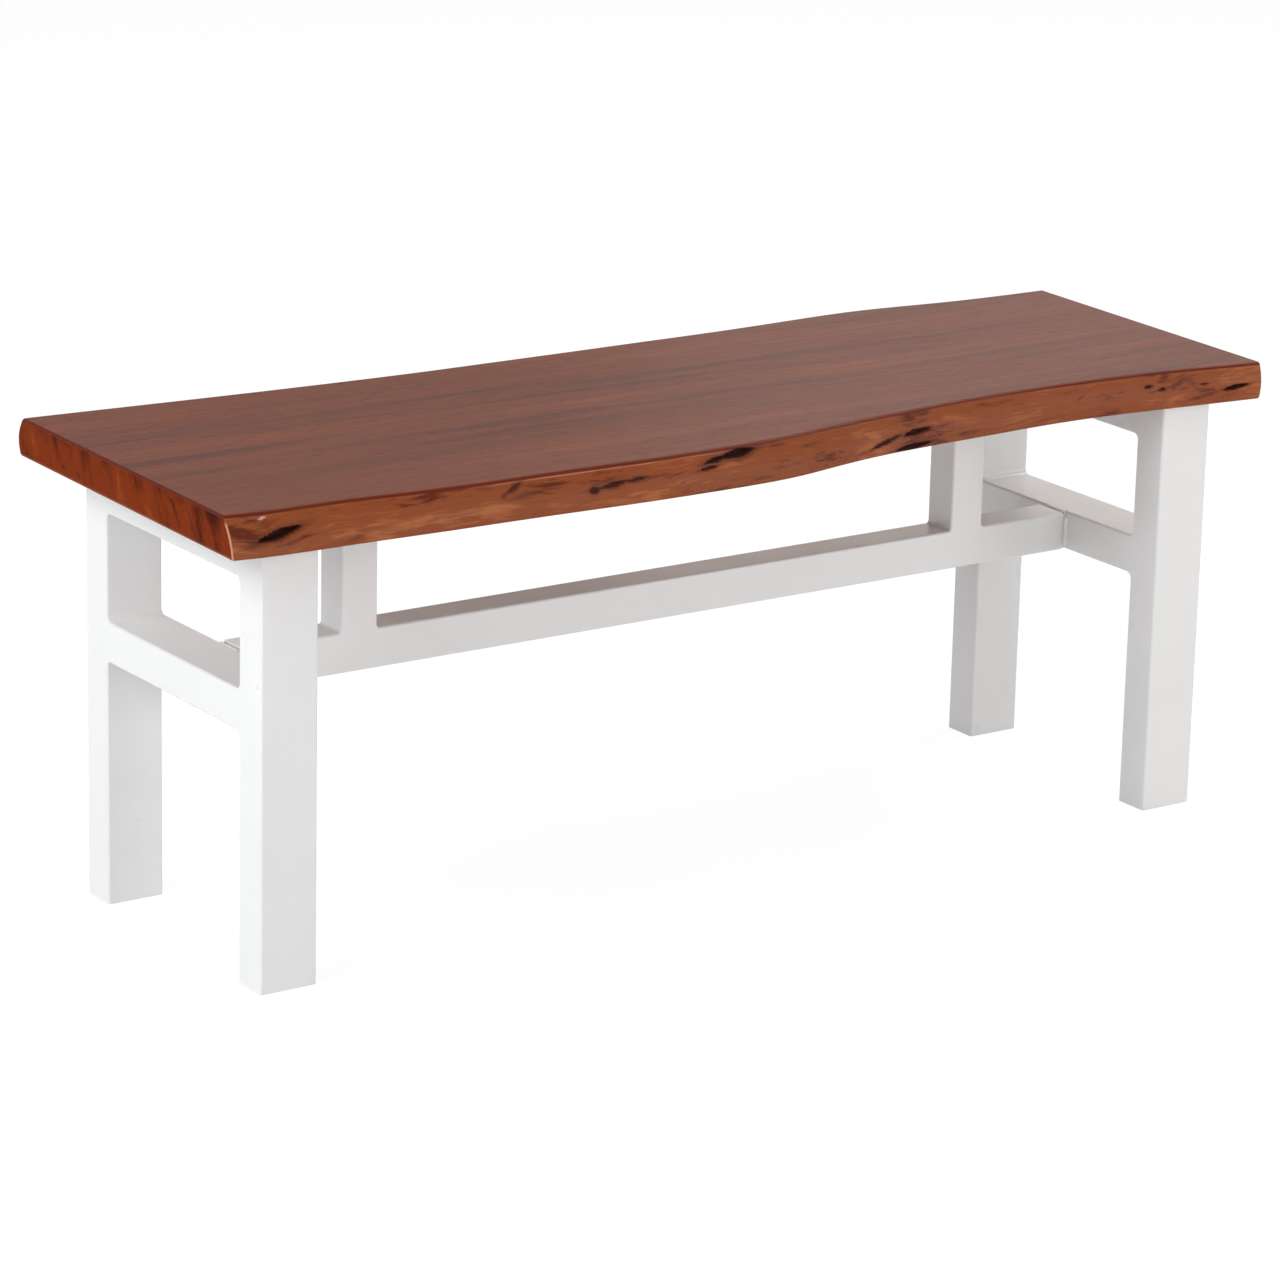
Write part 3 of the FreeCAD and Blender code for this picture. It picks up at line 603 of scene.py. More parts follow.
def painted_arris_light(place, axes, colours, live, end, shade):
    """A dark line of painted shade round the upper arris, a painted glint below it and a painted
    highlight at one corner.
    """
    # Painted shade along the upper arris, on the live edges and the sawn ends.
    line = spread(axes["Z"], below_top(2.9), below_top(2.2), 0, 0.96)
    line = times(line, weighed((live, 1), (end, 1)))
    shade = mixed(line, shade, colours.arris)
    # A broken painted glint, a thin highlight a little below the top of the live edges.
    glint = spread(away(axes["Z"], below_top(3.5)), 0.6 * MM, 0.2 * MM)
    broken = spread(clouds(place, (9, 2, 2), 3, 0.6), 0.44, 0.58, 0, 0.5)
    stretch = away(axes["X"], GLINT_MIDDLE)
    stretch = spread(stretch, GLINT_REACH, GLINT_REACH - 80 * MM, 0.15, 1)
    shade = mixed(times(glint, broken, stretch, live), shade, colours.glint)
    # A painted highlight down the rounded upright corner at the left front.
    corner = times(
        spread(times(live, end), 0.01, 0.10, 0, 0.8),
        spread(axes["Z"], below_top(5), below_top(8)),
        spread(axes["X"], CORNER_X + 50 * MM, CORNER_X),
        spread(axes["Y"], CORNER_Y + 50 * MM, CORNER_Y))
    return mixed(corner, shade, colours.glint)


def lacquered_wood(name, colours, shift, gloss):
    """Flat-sawn boards under lacquer, with live edges, sawn ends and open knots."""
    material, shader, place = fresh(name, Specular_IOR_Level=gloss)
    axes = add(place.id_data, "ShaderNodeSeparateXYZ", {0: place}).outputs
    grain = wavy(place, 2.1, 9 * MM)
    fibres = clouds(grain, (16, 520, 420), 3, 0.6)
    pores = spread(clouds(grain, (58, 560, 520), 2, 0.5), 0.56, 0.68)
    live, end = mark(place, "live"), mark(place, "end")
    shade = heartwood(grain, fibres, pores, colours, shift)
    shade = mixed(live, shade, live_edge(place, axes, colours, shift))
    shade = mixed(end, shade, sawn_end(place, axes, colours, shift))
    shade = painted_arris_light(place, axes, colours, live, end, shade)

    ragged = spread(clouds(place, (50, 150, 170), 3, 0.55), 0.3, 0.7, -0.07, 0.07)
    stain = weighed((mark(place, "stain"), 1), (ragged, 1))
    shade = mixed(spread(stain, 0.12, 0.80, 0, 0.85), shade, colours.stain)
    # The sunk middles of the open knots: dark wood of the knots with painted shade of the hollows.
    hollow = weighed((mark(place, "hollow"), 1), (ragged, 1))
    hollow = spread(hollow, 0.20, 0.75)
    shade = mixed(hollow, shade, colours.hollow)
    shade = mixed(mark(place, "chip"), shade, colours.chip)
    rough = weighed((spread(fibres, 0.3, 0.7, 0.36, 0.46), 1), (hollow, 0.3))
    feed(shader, weighed((fibres, 1), (pores, -0.8)), 0.10 * MM, shade, rough)
    return material


def powder_coat(name, colours, dressed=False):
    """White powder coat with a faint orange peel, and rougher over a dressed weld."""
    material, shader, place = fresh(name, Coat_Weight=0.15, Coat_Roughness=0.12)
    broad = clouds(place, (14, 14, 14), 3, 0.5)
    peel = clouds(place, (650, 650, 650), 2, 0.4)
    if dressed:
        peel = weighed((peel, 1), (clouds(place, (90, 260, 260), 4, 0.6), 4))
    shade = mixed(spread(broad, 0.35, 0.65, 0, 0.25), colours.powder,
                  dimmed(colours.powder, 0.93))
    feed(shader, peel, 0.06 * MM, shade, spread(broad, 0.3, 0.7, 0.27, 0.36))
    return material


def metal(name, tint, rough):
    """Bright or dull metal with a cloudy roughness and fine scratches."""
    material, shader, place = fresh(name, Metallic=1.0)
    cloud = clouds(place, (260, 260, 260), 4, 0.6)
    scratches = clouds(place, (2400, 300, 2400), 2, 0.5)
    shade = mixed(spread(cloud, 0.3, 0.7), tint, dimmed(tint, 0.72))
    feed(shader, scratches, 0.03 * MM, shade,
         spread(cloud, 0.3, 0.7, rough, rough + 0.16))
    return material


def moulded_plastic(name, colours):
    """Pale moulded plastic with a fine spark-eroded texture."""
    material, shader, place = fresh(name)
    grain = clouds(place, (1500, 1500, 1500), 2, 0.5)
    scuffs = clouds(place, (60, 220, 60), 3, 0.6)
    shade = mixed(spread(scuffs, 0.55, 0.75), colours.plastic,
                  dimmed(colours.plastic, 0.75))
    feed(shader, grain, 0.05 * MM, shade, spread(scuffs, 0.3, 0.7, 0.42, 0.55))
    return material


def once(name, make, *values):
    """A material by its name, made when it is first asked for."""
    return bpy.data.materials.get(name) or make(name, *values)


def paint(context):
    """The coat of the frame."""
    return once("White powder coat", powder_coat, context.scene.bench_colours)


def weld_paint(context):
    """The coat over the welds."""
    return once("White powder coat over a weld", powder_coat, context.scene.bench_colours, True)


def zinc(context):
    """The plating of screws and bolts."""
    return once("Zinc plated steel", metal, context.scene.bench_colours.zinc, 0.26)


def step(low, high, value):
    """Zero below the low limit, one above the high one, and smooth between."""
    part = min(1.0, max(0.0, (value - low) / (high - low)))
    return part * part * (3 - 2 * part)


def divide(piece, parts, test):
    """Divide the edges that pass the test into so many parts."""
    pick(piece, "EDGE", test)
    bpy.ops.mesh.subdivide(number_cuts=parts - 1)
    leave()


def band_round(outline, sizes):
    """An upright band that stands off the outline, rounded at its four corners."""
    skin = block("Seat skin", SEAT_LOW + Vector((0, 0, RIM)), SEAT_HIGH - Vector((0, 0, RIM)))
    out = STAND_OFF + sizes.corner_round * (1 - math.cos(math.pi / 4))
    for vertex in skin.data.vertices:
        x_way, y_way = math.copysign(1, vertex.co.x), math.copysign(1, vertex.co.y)
        corner = max((point.co for point in outline.data.vertices),
                     key=lambda point: point.x * x_way + point.y * y_way)
        vertex.co.x = corner.x + out * x_way
        vertex.co.y = corner.y + out * y_way
    soften(skin, 2, out + LEAN, CORNER_PARTS)
    pick(skin, "FACE", lambda middle, normal: abs(normal.z) > 0.5)
    bpy.ops.mesh.delete(type="FACE")
    leave()
    return skin


def seat_skin(sizes):
    """One band of quads right round both boards, laid on their CAD outline."""
    outline = join("outline", [copy_of(bpy.data.objects[node], "outline") for node in BOARDS])
    pick(outline, "VERT")
    bpy.ops.mesh.remove_doubles(threshold=HAIR)
    leave()
    skin = band_round(outline, sizes)

    def long_side(run):
        return abs(run.z) < HAIR and abs(run.x) > 2 * sizes.corner_round

    # Each long side is divided twice over, into the square of its number of parts.
    for parts, way in ((sizes.columns, -1), (BACK_COLUMNS, 1)):
        for _ in range(2):
            divide(skin, parts, lambda middle, run: long_side(run) and middle.y * way > 0)
    depth, height = SEAT_HIGH.y - SEAT_LOW.y, SEAT_HIGH.z - SEAT_LOW.z - 2 * RIM
    divide(skin, END_PARTS, lambda middle, run: abs(run.y) > depth / 4)
    divide(skin, ROWS, lambda middle, run: abs(run.z) > height / 2)

    # The rows are crowded towards the arrises, where the outline turns fastest.
    half, middle = height / 2, (SEAT_HIGH.z + SEAT_LOW.z) / 2
    for vertex in skin.data.vertices:
        vertex.co.z = middle + half * math.sin((vertex.co.z - middle) / half * math.pi / 2)
    work(skin, "SHRINKWRAP", target=outline, wrap_method="PROJECT", project_limit=3 * BEYOND,
         use_negative_direction=True)
    bpy.data.objects.remove(outline)
    return skin


def in_mark(x, z, across, up, long, tall, tilt):
    """How far a point lies inside a mark: 1 at its middle, 0 at its rim, less outside."""
    angle = math.radians(tilt)
    right = (x - across) * math.cos(angle) + (z - up) * math.sin(angle)
    above = (z - up) * math.cos(angle) - (x - across) * math.sin(angle)
    taper = 1 - 0.45 * min(1.0, abs(right) / long)
    return 1 - math.hypot(right / long, above / (tall * taper))


def end_stain(y, z):
    """How dark the knots of the left sawn end make a place."""
    stain = 0.0
    for *shape, dark in END_MARKS:
        inside = in_mark(y, z, *shape) + 0.2 * noise.noise(Vector((7, y * 0.3, z * 0.3)))
        stain = max(stain, step(-0.5, 0.8, inside) * dark)
    return stain


def knots(x, z, fray, marks):
    """What the marks of a live edge do to a place: its stain, its hollow and its depth."""
    stain = hollow = depth = 0.0
    for *shape, sunk, dark in marks:
        if abs(x - shape[0]) > shape[2] * 2 + 4:
            continue
        inside = in_mark(x, z, *shape) + fray
        stain = max(stain, step(-1.1, 0.1, inside) * 0.55 * dark)
        if sunk < 1:
            stain = max(stain, step(-0.1, 0.6, inside) * dark)
        else:
            hollow = max(hollow, step(-0.1, 0.35, inside) * dark)
        depth = max(depth, sunk * step(-0.05, 0.6, inside))
    return stain, hollow, depth


def carve(skin, sizes):
    """Ripple the live edges and sink their open knots, and note both at the points."""
    mesh = skin.data
    notes = {name: [0.0] * len(mesh.vertices) for name in NOTES}
    normals = [vertex.normal.copy() for vertex in mesh.vertices]
    for vertex, normal in zip(mesh.vertices, normals):
        index = vertex.index
        x, y, z = (part / MM for part in vertex.co)
        up = (vertex.co.z - SEAT_LOW.z) / (SEAT_HIGH.z - SEAT_LOW.z)
        live = step(0.35, 0.85, abs(normal.y) / max(1e-6, math.hypot(normal.x, normal.y)))
        off_arris = step(0, 0.02, 1 - up) * step(0, 0.02, up)
        notes["live"][index] = live * off_arris
        notes["end"][index] = (1 - live) * off_arris
        if normal.x < 0 and live < 1:
            notes["stain"][index] = end_stain(y, z) * (1 - live)
        if live < 0.5:
            continue
        # Noise in features per millimetre.
        ripple = 0.5 + 0.5 * noise.noise(Vector((x * 0.012, y * 0.05, z * 0.06)))
        ripple += 0.25 * noise.noise(Vector((x * 0.06, y * 0.05, z * 0.22)))
        fray = 0.09 * noise.noise(Vector((x * 0.09, z * 0.22, 7)))
        stain, hollow, depth = knots(x, z, fray, FRONT_MARKS if normal.y < 0 else BACK_MARKS)
        depth = max(depth, sizes.edge_relief / MM * ripple * live)
        if normal.y < 0:
            notes["chip"][index] = step(0.1, 0.6, in_mark(x, z, *CHIP) + fray)
        notes["stain"][index] = stain * step(0, 0.04, 1 - up)
        notes["hollow"][index] = hollow * step(0, 0.04, 1 - up)
        depth *= step(0, 0.16, up) * step(0, 0.16, 1 - up)
        vertex.co -= Vector((normal.x, normal.y, 0)).normalized() * depth * MM
    for name, values in notes.items():
        mesh.attributes.new(name, "FLOAT", "POINT").data.foreach_set("value", values)


def cap(skin, level, flat):
    """Close the band at its rim, with a narrow margin inside it that brings it to the flat."""
    ways = {tuple(vertex.co): Vector((vertex.normal.x, vertex.normal.y, 0)).normalized()
            for vertex in skin.data.vertices}
    pick(skin, "EDGE", lambda middle, run: abs(middle.z - level) < 3 * HAIR > abs(run.z))
    bpy.ops.mesh.extrude_region_move()
    leave()
    for vertex in skin.data.vertices:
        if vertex.select:
            vertex.co -= ways[tuple(vertex.co)] * MARGIN
            vertex.co.z = flat
    bpy.ops.object.mode_set(mode="EDIT")
    bpy.ops.mesh.edge_face_add()
    leave()


class BENCH_OT_seat_boards(bpy.types.Operator):
    """Lay the two live edge boards on their CAD outline, with ripple, knots and grain"""

    bl_idname = "bench.seat_boards"
    bl_label = "Seat boards"

    def execute(self, context):
        sizes, colours = context.scene.bench_sizes, context.scene.bench_colours
        skin = seat_skin(sizes)
        carve(skin, sizes)
        cap(skin, SEAT_HIGH.z - RIM, SEAT_HIGH.z - HAIR)
        cap(skin, SEAT_LOW.z + RIM, SEAT_LOW.z + HAIR)
        pick(skin, "FACE")
        bpy.ops.mesh.normals_make_consistent(inside=False)
        leave()
        # The two flat faces are plain heartwood.
        for name in NOTES:
            notes = skin.data.attributes[name].data
            for vertex in skin.data.vertices:
                if not SEAT_LOW.z + 2 * HAIR <= vertex.co.z <= SEAT_HIGH.z - 2 * HAIR:
                    notes[vertex.index].value = 0.0
        back = copy_of(skin, "Back board")
        for board, node, way, shift in zip((skin, back), BOARDS, (1, -1), (0.0, 3.7)):
            saw(board, (0, GLUE_LINE, 0), (0, way, 0))
            for face in board.data.polygons:
                face.material_index = int(abs(face.normal.x) > 0.96)
            finish(board, (node,), "seat_wood", *(
                once(f"{kind} of {node}", lacquered_wood, colours, shift, gloss)
                for kind, gloss in (("Lacquered wood", 0.165), ("Sawn end", 0.01))))
        return {"FINISHED"}


def mark_welds(piece):
    """Give the faces of the dressed corner welds the rougher coat.

    They run along one axis, slant between the other two and are wider than a tube's edge."""
    for face in piece.data.polygons:
        least, middle, most = sorted(abs(part) for part in face.normal)
        face.material_index = int(
            least < 0.05 and middle > 0.12 and most < 0.993 and face.area > 10 * MM * MM)


def welded(context, body):
    """Round the edges of a frame's tubes and paint it, its dressed welds apart."""
    ease(body, context.scene.bench_sizes.tube_corner, 4)
    body.data.materials.append(paint(context))
    body.data.materials.append(weld_paint(context))


def frame_leg(context, body, side, end, way):
    """Saw one leg off the end frame and bore its foot for the glide."""
    sizes = context.scene.bench_sizes
    low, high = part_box(f"leg_{side}_{end}")
    leg = copy_of(body, "Leg")
    joint = high[1] + sizes.weld_round if way > 0 else low[1] - sizes.weld_round
    saw(leg, (0, joint, 0), (0, way, 0))
    wall = sizes.tube_wall
    cut_block(leg, (low[0] + wall, low[1] + wall, -BEYOND),
              (high[0] - wall, high[1] - wall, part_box(f"glide_{side}_{end}")[1][2] * 1.6))
    finish(leg, (f"leg_{side}_{end}",), "frame_paint")


def frame_top_rail(context, rail, side):
    """Hollow the top rail, and cut its screw slots and the holes that a driver goes through."""
    sizes = context.scene.bench_sizes
    wall, shank = sizes.tube_wall, sizes.screw_shank
    low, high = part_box(f"top_rail_{side}")
    cut_block(rail, (low[0] + wall, low[1] - wall, low[2] + wall),
              (high[0] - wall, high[1] + wall, high[2] - wall))
    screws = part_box(f"rail_screws_{side}")
    x = (screws[0][0] + screws[1][0]) / 2
    head = (screws[1][0] - screws[0][0]) / 2
    half_width, half_length = shank * 0.55, (sizes.slot_travel + shank) / 2
    for y in (screws[0][1] + head, screws[1][1] - head):
        cut(rail, rod("Tool hole", (x, y, low[2]), sizes.tool_hole / 2, 3 * wall))
        cut_block(rail, (x - half_width, y - half_length, high[2] - 2 * wall),
                  (x + half_width, y + half_length, high[2] + wall), 2, shank / 2, 6)
    finish(rail, (f"top_rail_{side}",), "frame_paint")


class BENCH_OT_end_frames(bpy.types.Operator):
    """Make both end frames: legs, cross rails and top rails with their dressed welds"""

    bl_idname = "bench.end_frames"
    bl_label = "End frames"

    def execute(self, context):
        stub = context.scene.bench_sizes.weld_round
        for side in SIDES:
            low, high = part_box(f"leg_{side}_front")[0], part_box(f"leg_{side}_back")[1]
            cross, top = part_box(f"crossrail_{side}"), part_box(f"top_rail_{side}")
            inner_low, inner_high = cross[0][1], cross[1][1]
            body = block("End frame", (low[0], low[1], -BEYOND),
                         (high[0], high[1], high[2] + BEYOND))
            for bottom, head in ((-2 * BEYOND, cross[0][2]), (cross[1][2], top[0][2])):
                cut_block(body, (low[0] - BEYOND, inner_low, bottom),
                          (high[0] + BEYOND, inner_high, head), 0, stub, 6)
            welded(context, body)
            saw(body, (0, 0, 0), (0, 0, -1))
            saw(body, (0, 0, high[2]), (0, 0, 1))
            mark_welds(body)

            for end, way in (("front", 1), ("back", -1)):
                frame_leg(context, body, side, end, way)
            saw(body, (0, inner_low + stub, 0), (0, -1, 0))
            saw(body, (0, inner_high - stub, 0), (0, 1, 0))
            between = (0, 0, (cross[1][2] + top[0][2]) / 2)
            rail = copy_of(body, "Cross rail")
            saw(rail, between, (0, 0, 1))
            finish(rail, (f"crossrail_{side}",), "frame_paint")
            saw(body, between, (0, 0, -1))
            frame_top_rail(context, body, side)
        return {"FINISHED"}


class BENCH_OT_stretcher_frame(bpy.types.Operator):
    """Make the stretcher and its two posts, with dressed welds at the posts' feet"""

    bl_idname = "bench.stretcher_frame"
    bl_label = "Stretcher and posts"

    def execute(self, context):
        sizes = context.scene.bench_sizes
        wall = sizes.tube_wall
        low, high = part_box("stretcher")
        left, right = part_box("post_left"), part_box("post_right")
        head = left[1][2]
        body = block("Stretcher frame", (low[0] - BEYOND, low[1], low[2]),
                     (high[0] + BEYOND, high[1], head + BEYOND))
        for start, end in ((low[0] - 2 * BEYOND, left[0][0]), (left[1][0], right[0][0]),
                           (right[1][0], high[0] + 2 * BEYOND)):
            cut_block(body, (start, low[1] - BEYOND, high[2]),
                      (end, high[1] + BEYOND, head + 2 * BEYOND), 1, sizes.foot_round, 6,
                      lambda middle: middle.z < head)
        welded(context, body)
        saw(body, (0, 0, head), (0, 0, 1))
        saw(body, (low[0], 0, 0), (-1, 0, 0))
        saw(body, (high[0], 0, 0), (1, 0, 0))
        mark_welds(body)
        joint = (0, 0, high[2] + sizes.foot_round)
        for side, sign in SIDES.items():
            post = copy_of(body, "Post")
            saw(post, joint, (0, 0, -1))
            saw(post, (0, 0, 0), (-sign, 0, 0))
            finish(post, (f"post_{side}",), "frame_paint")
        saw(body, joint, (0, 0, 1))
        cut_block(body, (low[0] - BEYOND, low[1] + wall, low[2] + wall),
                  (high[0] + BEYOND, high[1] - wall, high[2] - wall), 0, INNER_ROUND)
        for x in bolt_places():
            cut(body, rod("Bolt hole", (x, 0, low[2]), sizes.bolt_shank * 0.56, 3 * wall))
        finish(body, ("stretcher",), "frame_paint")
        return {"FINISHED"}


class BENCH_OT_spigots(bpy.types.Operator):
    """Make the two open box spigots that the stretcher slides over"""

    bl_idname = "bench.spigots"
    bl_label = "Spigots"

    def execute(self, context):
        sizes = context.scene.bench_sizes
        wall = sizes.spigot_wall
        for side, sign in SIDES.items():
            low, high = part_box(f"spigot_{side}")
            piece = block("Spigot", low, high)
            soften(piece, 0, wall, 5)
            cut_block(piece, (low[0] - BEYOND * (sign > 0), low[1] + wall, low[2] + wall),
                      (high[0] + BEYOND * (sign < 0), high[1] - wall, high[2] - wall),
                      0, INNER_ROUND)
            x = sign * bolt_places()[1]
            cut(piece, rod("Bolt hole", (x, 0, low[2]), sizes.bolt_shank * 0.56, 3 * wall))
            ease(piece, SPIGOT_EDGE)
            finish(piece, (f"spigot_{side}",), "frame_paint", paint(context))
        return {"FINISHED"}


class BENCH_OT_mounting_plates(bpy.types.Operator):
    """Make the two plates on the posts that the seat is screwed to"""

    bl_idname = "bench.mounting_plates"
    bl_label = "Mounting plates"

    def execute(self, context):
        sizes = context.scene.bench_sizes
        for side in SIDES:
            low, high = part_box(f"post_plate_{side}")
            plate = block("Plate", low, high)
            soften(plate, 2, sizes.plate_corner, 5)
            for x in plate_places(side):
                cut(plate, rod("Screw hole", (x, 0, (low[2] + high[2]) / 2),
                               sizes.screw_shank * 0.55, 3 * (high[2] - low[2])))
            ease(plate, PLATE_EDGE)
            finish(plate, (f"post_plate_{side}",), "frame_paint", paint(context))
        return {"FINISHED"}


def bead(start, end, radius):
    """A weld bead between two points, laid in even ripples."""
    start, end = Vector(start), Vector(end)
    run = end - start
    turn = Vector((0, 0, 1)).rotation_difference(run).to_euler()
    piece = rod("Bead", (start + end) / 2, radius, run.length, 20, turn)
    way = run.normalized()
    pick(piece, "EDGE", lambda middle, edge: edge.length > 0.9 * run.length)
    bpy.ops.mesh.subdivide(number_cuts=max(8, int(run.length / BEAD_STEP)))
    leave()
    pick(piece, "FACE", lambda middle, normal: abs(normal.dot(way)) > 0.9)
    bpy.ops.mesh.inset(thickness=radius * 0.4)
    leave()
    for vertex in piece.data.vertices:
        along = (vertex.co - start).dot(way)
        axis = start + way * along
        ripple = 0.90 + 0.10 * abs(math.sin(along / BEAD_RIPPLE * math.pi))
        ripple *= 1 + 0.05 * noise.noise(vertex.co * 300)
        closing = min(along, run.length - along) / BEAD_CLOSE
        ripple *= math.sqrt(min(1.0, max(0.2, closing)))
        vertex.co = axis + (vertex.co - axis) * ripple
    return piece


class BENCH_OT_weld_beads(bpy.types.Operator):
    """Lay the beads that are not dressed: round the spigots and under the mounting plates"""

    bl_idname = "bench.weld_beads"
    bl_label = "Weld beads"

    def execute(self, context):
        radius = context.scene.bench_sizes.bead_radius
        for side, sign in SIDES.items():
            low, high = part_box(f"spigot_{side}")
            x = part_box(f"crossrail_{side}")[0 if sign > 0 else 1][0]
            reach = radius * 0.5
            beads = [bead((x, low[1] + reach, z), (x, high[1] - reach, z), radius)
                     for z in (low[2], high[2])]
            beads += [bead((x, y, low[2] + reach), (x, y, high[2] - reach), radius)
                      for y in (low[1], high[1])]
            finish(join("Beads", beads), (f"welds_{side}_frame",), "frame_paint",
                   weld_paint(context), angle=60)
        beads = []
        for side in SIDES:
            low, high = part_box(f"post_{side}")
            beads += [bead((x, low[1] + radius * 0.6, high[2]),
                           (x, high[1] - radius * 0.6, high[2]), radius)
                      for x in (low[0], high[0])]
        finish(join("Beads", beads), ("welds_stretcher_frame",), "frame_paint",
               weld_paint(context), angle=60)
        return {"FINISHED"}


def round_head(name, x, y, bottom, width, height, dome):
    """The head of a screw or bolt, rounded where it faces down."""
    head = rod(name, (x, y, bottom + height / 2), width / 2, height, 40)
    pick(head, "EDGE", lambda middle, run: middle.z < bottom + HAIR and abs(run.z) < HAIR)
    bpy.ops.mesh.bevel(offset=dome, segments=5, affect="EDGES")
    leave()
    return head


def draw_shank(piece, joint, head, shank, reach):
    """Draw the shank up out of the head's upper face, to a short point."""
    pick(piece, "FACE", lambda middle, normal: normal.z > 0.9 and middle.z > joint - HAIR)
    bpy.ops.mesh.inset(thickness=(head - shank) / 2)
    for rise, size in ((0.8 * reach, 1.0), (0.2 * reach, 0.35)):
        bpy.ops.mesh.extrude_region_move(TRANSFORM_OT_translate={"value": (0, 0, rise)})
        bpy.ops.transform.resize(value=(size, size, 1))
    leave()


class BENCH_OT_wood_screws(bpy.types.Operator):
    """Make the eight wide-headed wood screws that hold the seat"""

    bl_idname = "bench.wood_screws"
    bl_label = "Wood screws"

    def execute(self, context):
        sizes = context.scene.bench_sizes
        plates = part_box("plate_screws")
        width = plates[1][1] - plates[0][1]
        groups = {"plate_screws": [(x, 0.0) for side in SIDES for x in plate_places(side)]}
        for side in SIDES:
            low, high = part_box(f"rail_screws_{side}")
            middle = (low[0] + high[0]) / 2
            groups[f"rail_screws_{side}"] = [
                (middle, low[1] + width / 2), (middle, high[1] - width / 2)]
        for node, spots in groups.items():
            low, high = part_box(node)
            screws = []
            for x, y in spots:
                screw = round_head("Screw", x, y, low[2], width, sizes.screw_head, SCREW_DOME)
                for turn in (0.25, 0.75):
                    arm = block("Recess", (x - CROSS_REACH, y - CROSS_HALF, low[2] - MM),
                                (x + CROSS_REACH, y + CROSS_HALF, low[2] + CROSS_DEPTH))
                    pick(arm, "VERT")
                    bpy.ops.transform.rotate(
                        value=turn * math.pi, orient_axis="Z", center_override=(x, y, 0))
                    leave()
                    pick(arm, "FACE", lambda middle, normal: normal.z > 0.9)
                    bpy.ops.transform.resize(value=(0.45, 0.45, 1), center_override=(x, y, 0))
                    leave()
                    cut(screw, arm)
                draw_shank(screw, low[2] + sizes.screw_head, width, sizes.screw_shank,
                           high[2] - low[2] - sizes.screw_head)
                screws.append(screw)
            finish(join("Screws", screws), (node,), "zinc_steel", zinc(context))
        return {"FINISHED"}


class BENCH_OT_bolts_and_nuts(bpy.types.Operator):
    """Make the socket bolts under the stretcher and the weld nuts that take them"""

    bl_idname = "bench.bolts_and_nuts"
    bl_label = "Bolts and nuts"

    def execute(self, context):
        sizes = context.scene.bench_sizes
        low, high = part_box("stretcher_bolts")
        width = high[1] - low[1]
        bolts = []
        for x in bolt_places():
            bolt = round_head("Bolt", x, 0, low[2], width, sizes.bolt_head, BOLT_DOME)
            cut(bolt, rod("Socket", (x, 0, low[2]), sizes.socket_width / math.sqrt(3),
                          sizes.bolt_head * 1.3, 6))
            draw_shank(bolt, low[2] + sizes.bolt_head, width, sizes.bolt_shank,
                       high[2] - low[2] - sizes.bolt_head)
            bolts.append(bolt)
        finish(join("Bolts", bolts), ("stretcher_bolts",), "zinc_steel", zinc(context))

        low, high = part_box("spigot_nuts")
        height = high[2] - low[2]
        nuts = []
        for x in bolt_places():
            nut = rod("Nut", (x, 0, low[2] + height / 2), (high[1] - low[1]) / 2, height, 6,
                      (0, 0, math.pi / 6))
            ease(nut, PLATE_EDGE, angle=50)
            cut(nut, rod("Thread", (x, 0, low[2]), sizes.bolt_shank * 0.52, 4 * height))
            nuts.append(nut)
        finish(join("Nuts", nuts), ("spigot_nuts",), "nut_steel", once(
            "Plain steel", metal, context.scene.bench_colours.steel, 0.42))
        return {"FINISHED"}


class BENCH_OT_glides(bpy.types.Operator):
    """Make the four moulded glides that close the feet of the legs"""

    bl_idname = "bench.glides"
    bl_label = "Glides"

    def execute(self, context):
        wall = context.scene.bench_sizes.glide_wall
        plastic = once("Moulded plastic", moulded_plastic, context.scene.bench_colours)
        for side in SIDES:
            for end in ("front", "back"):
                low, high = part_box(f"glide_{side}_{end}")
                glide = block("Glide", low, high)
                soften(glide, 2, GLIDE_CORNER)
                # A well from above, and a shallow recess in the sole.
                for edge, bottom, head in ((wall, low[2] + GLIDE_FLOOR, high[2] + RIM),
                                           (2 * wall, low[2] - RIM, low[2] + GLIDE_RECESS)):
                    cut_block(glide, (low[0] + edge, low[1] + edge, bottom),
                              (high[0] - edge, high[1] - edge, head), 2, INNER_ROUND, 4)
                ease(glide, GLIDE_EDGE, angle=50)
                finish(glide, (f"glide_{side}_{end}",), "glide_plastic", plastic)
        return {"FINISHED"}


def lamp(name, place, size, power, tint):
    """A large square lamp that faces the underside's middle and that the camera can't see."""
    bpy.ops.object.light_add(type="AREA", location=place)
    made = bpy.context.object
    made.name = f"{name.title()} lamp"
    made.data.size = size
    made.data.energy = power
    made.data.color = tint
    made.visible_camera = False
    aim = Vector((0, 0, SEAT_LOW.z)) - Vector(place)
    made.rotation_euler = aim.to_track_quat("-Z", "Y").to_euler()


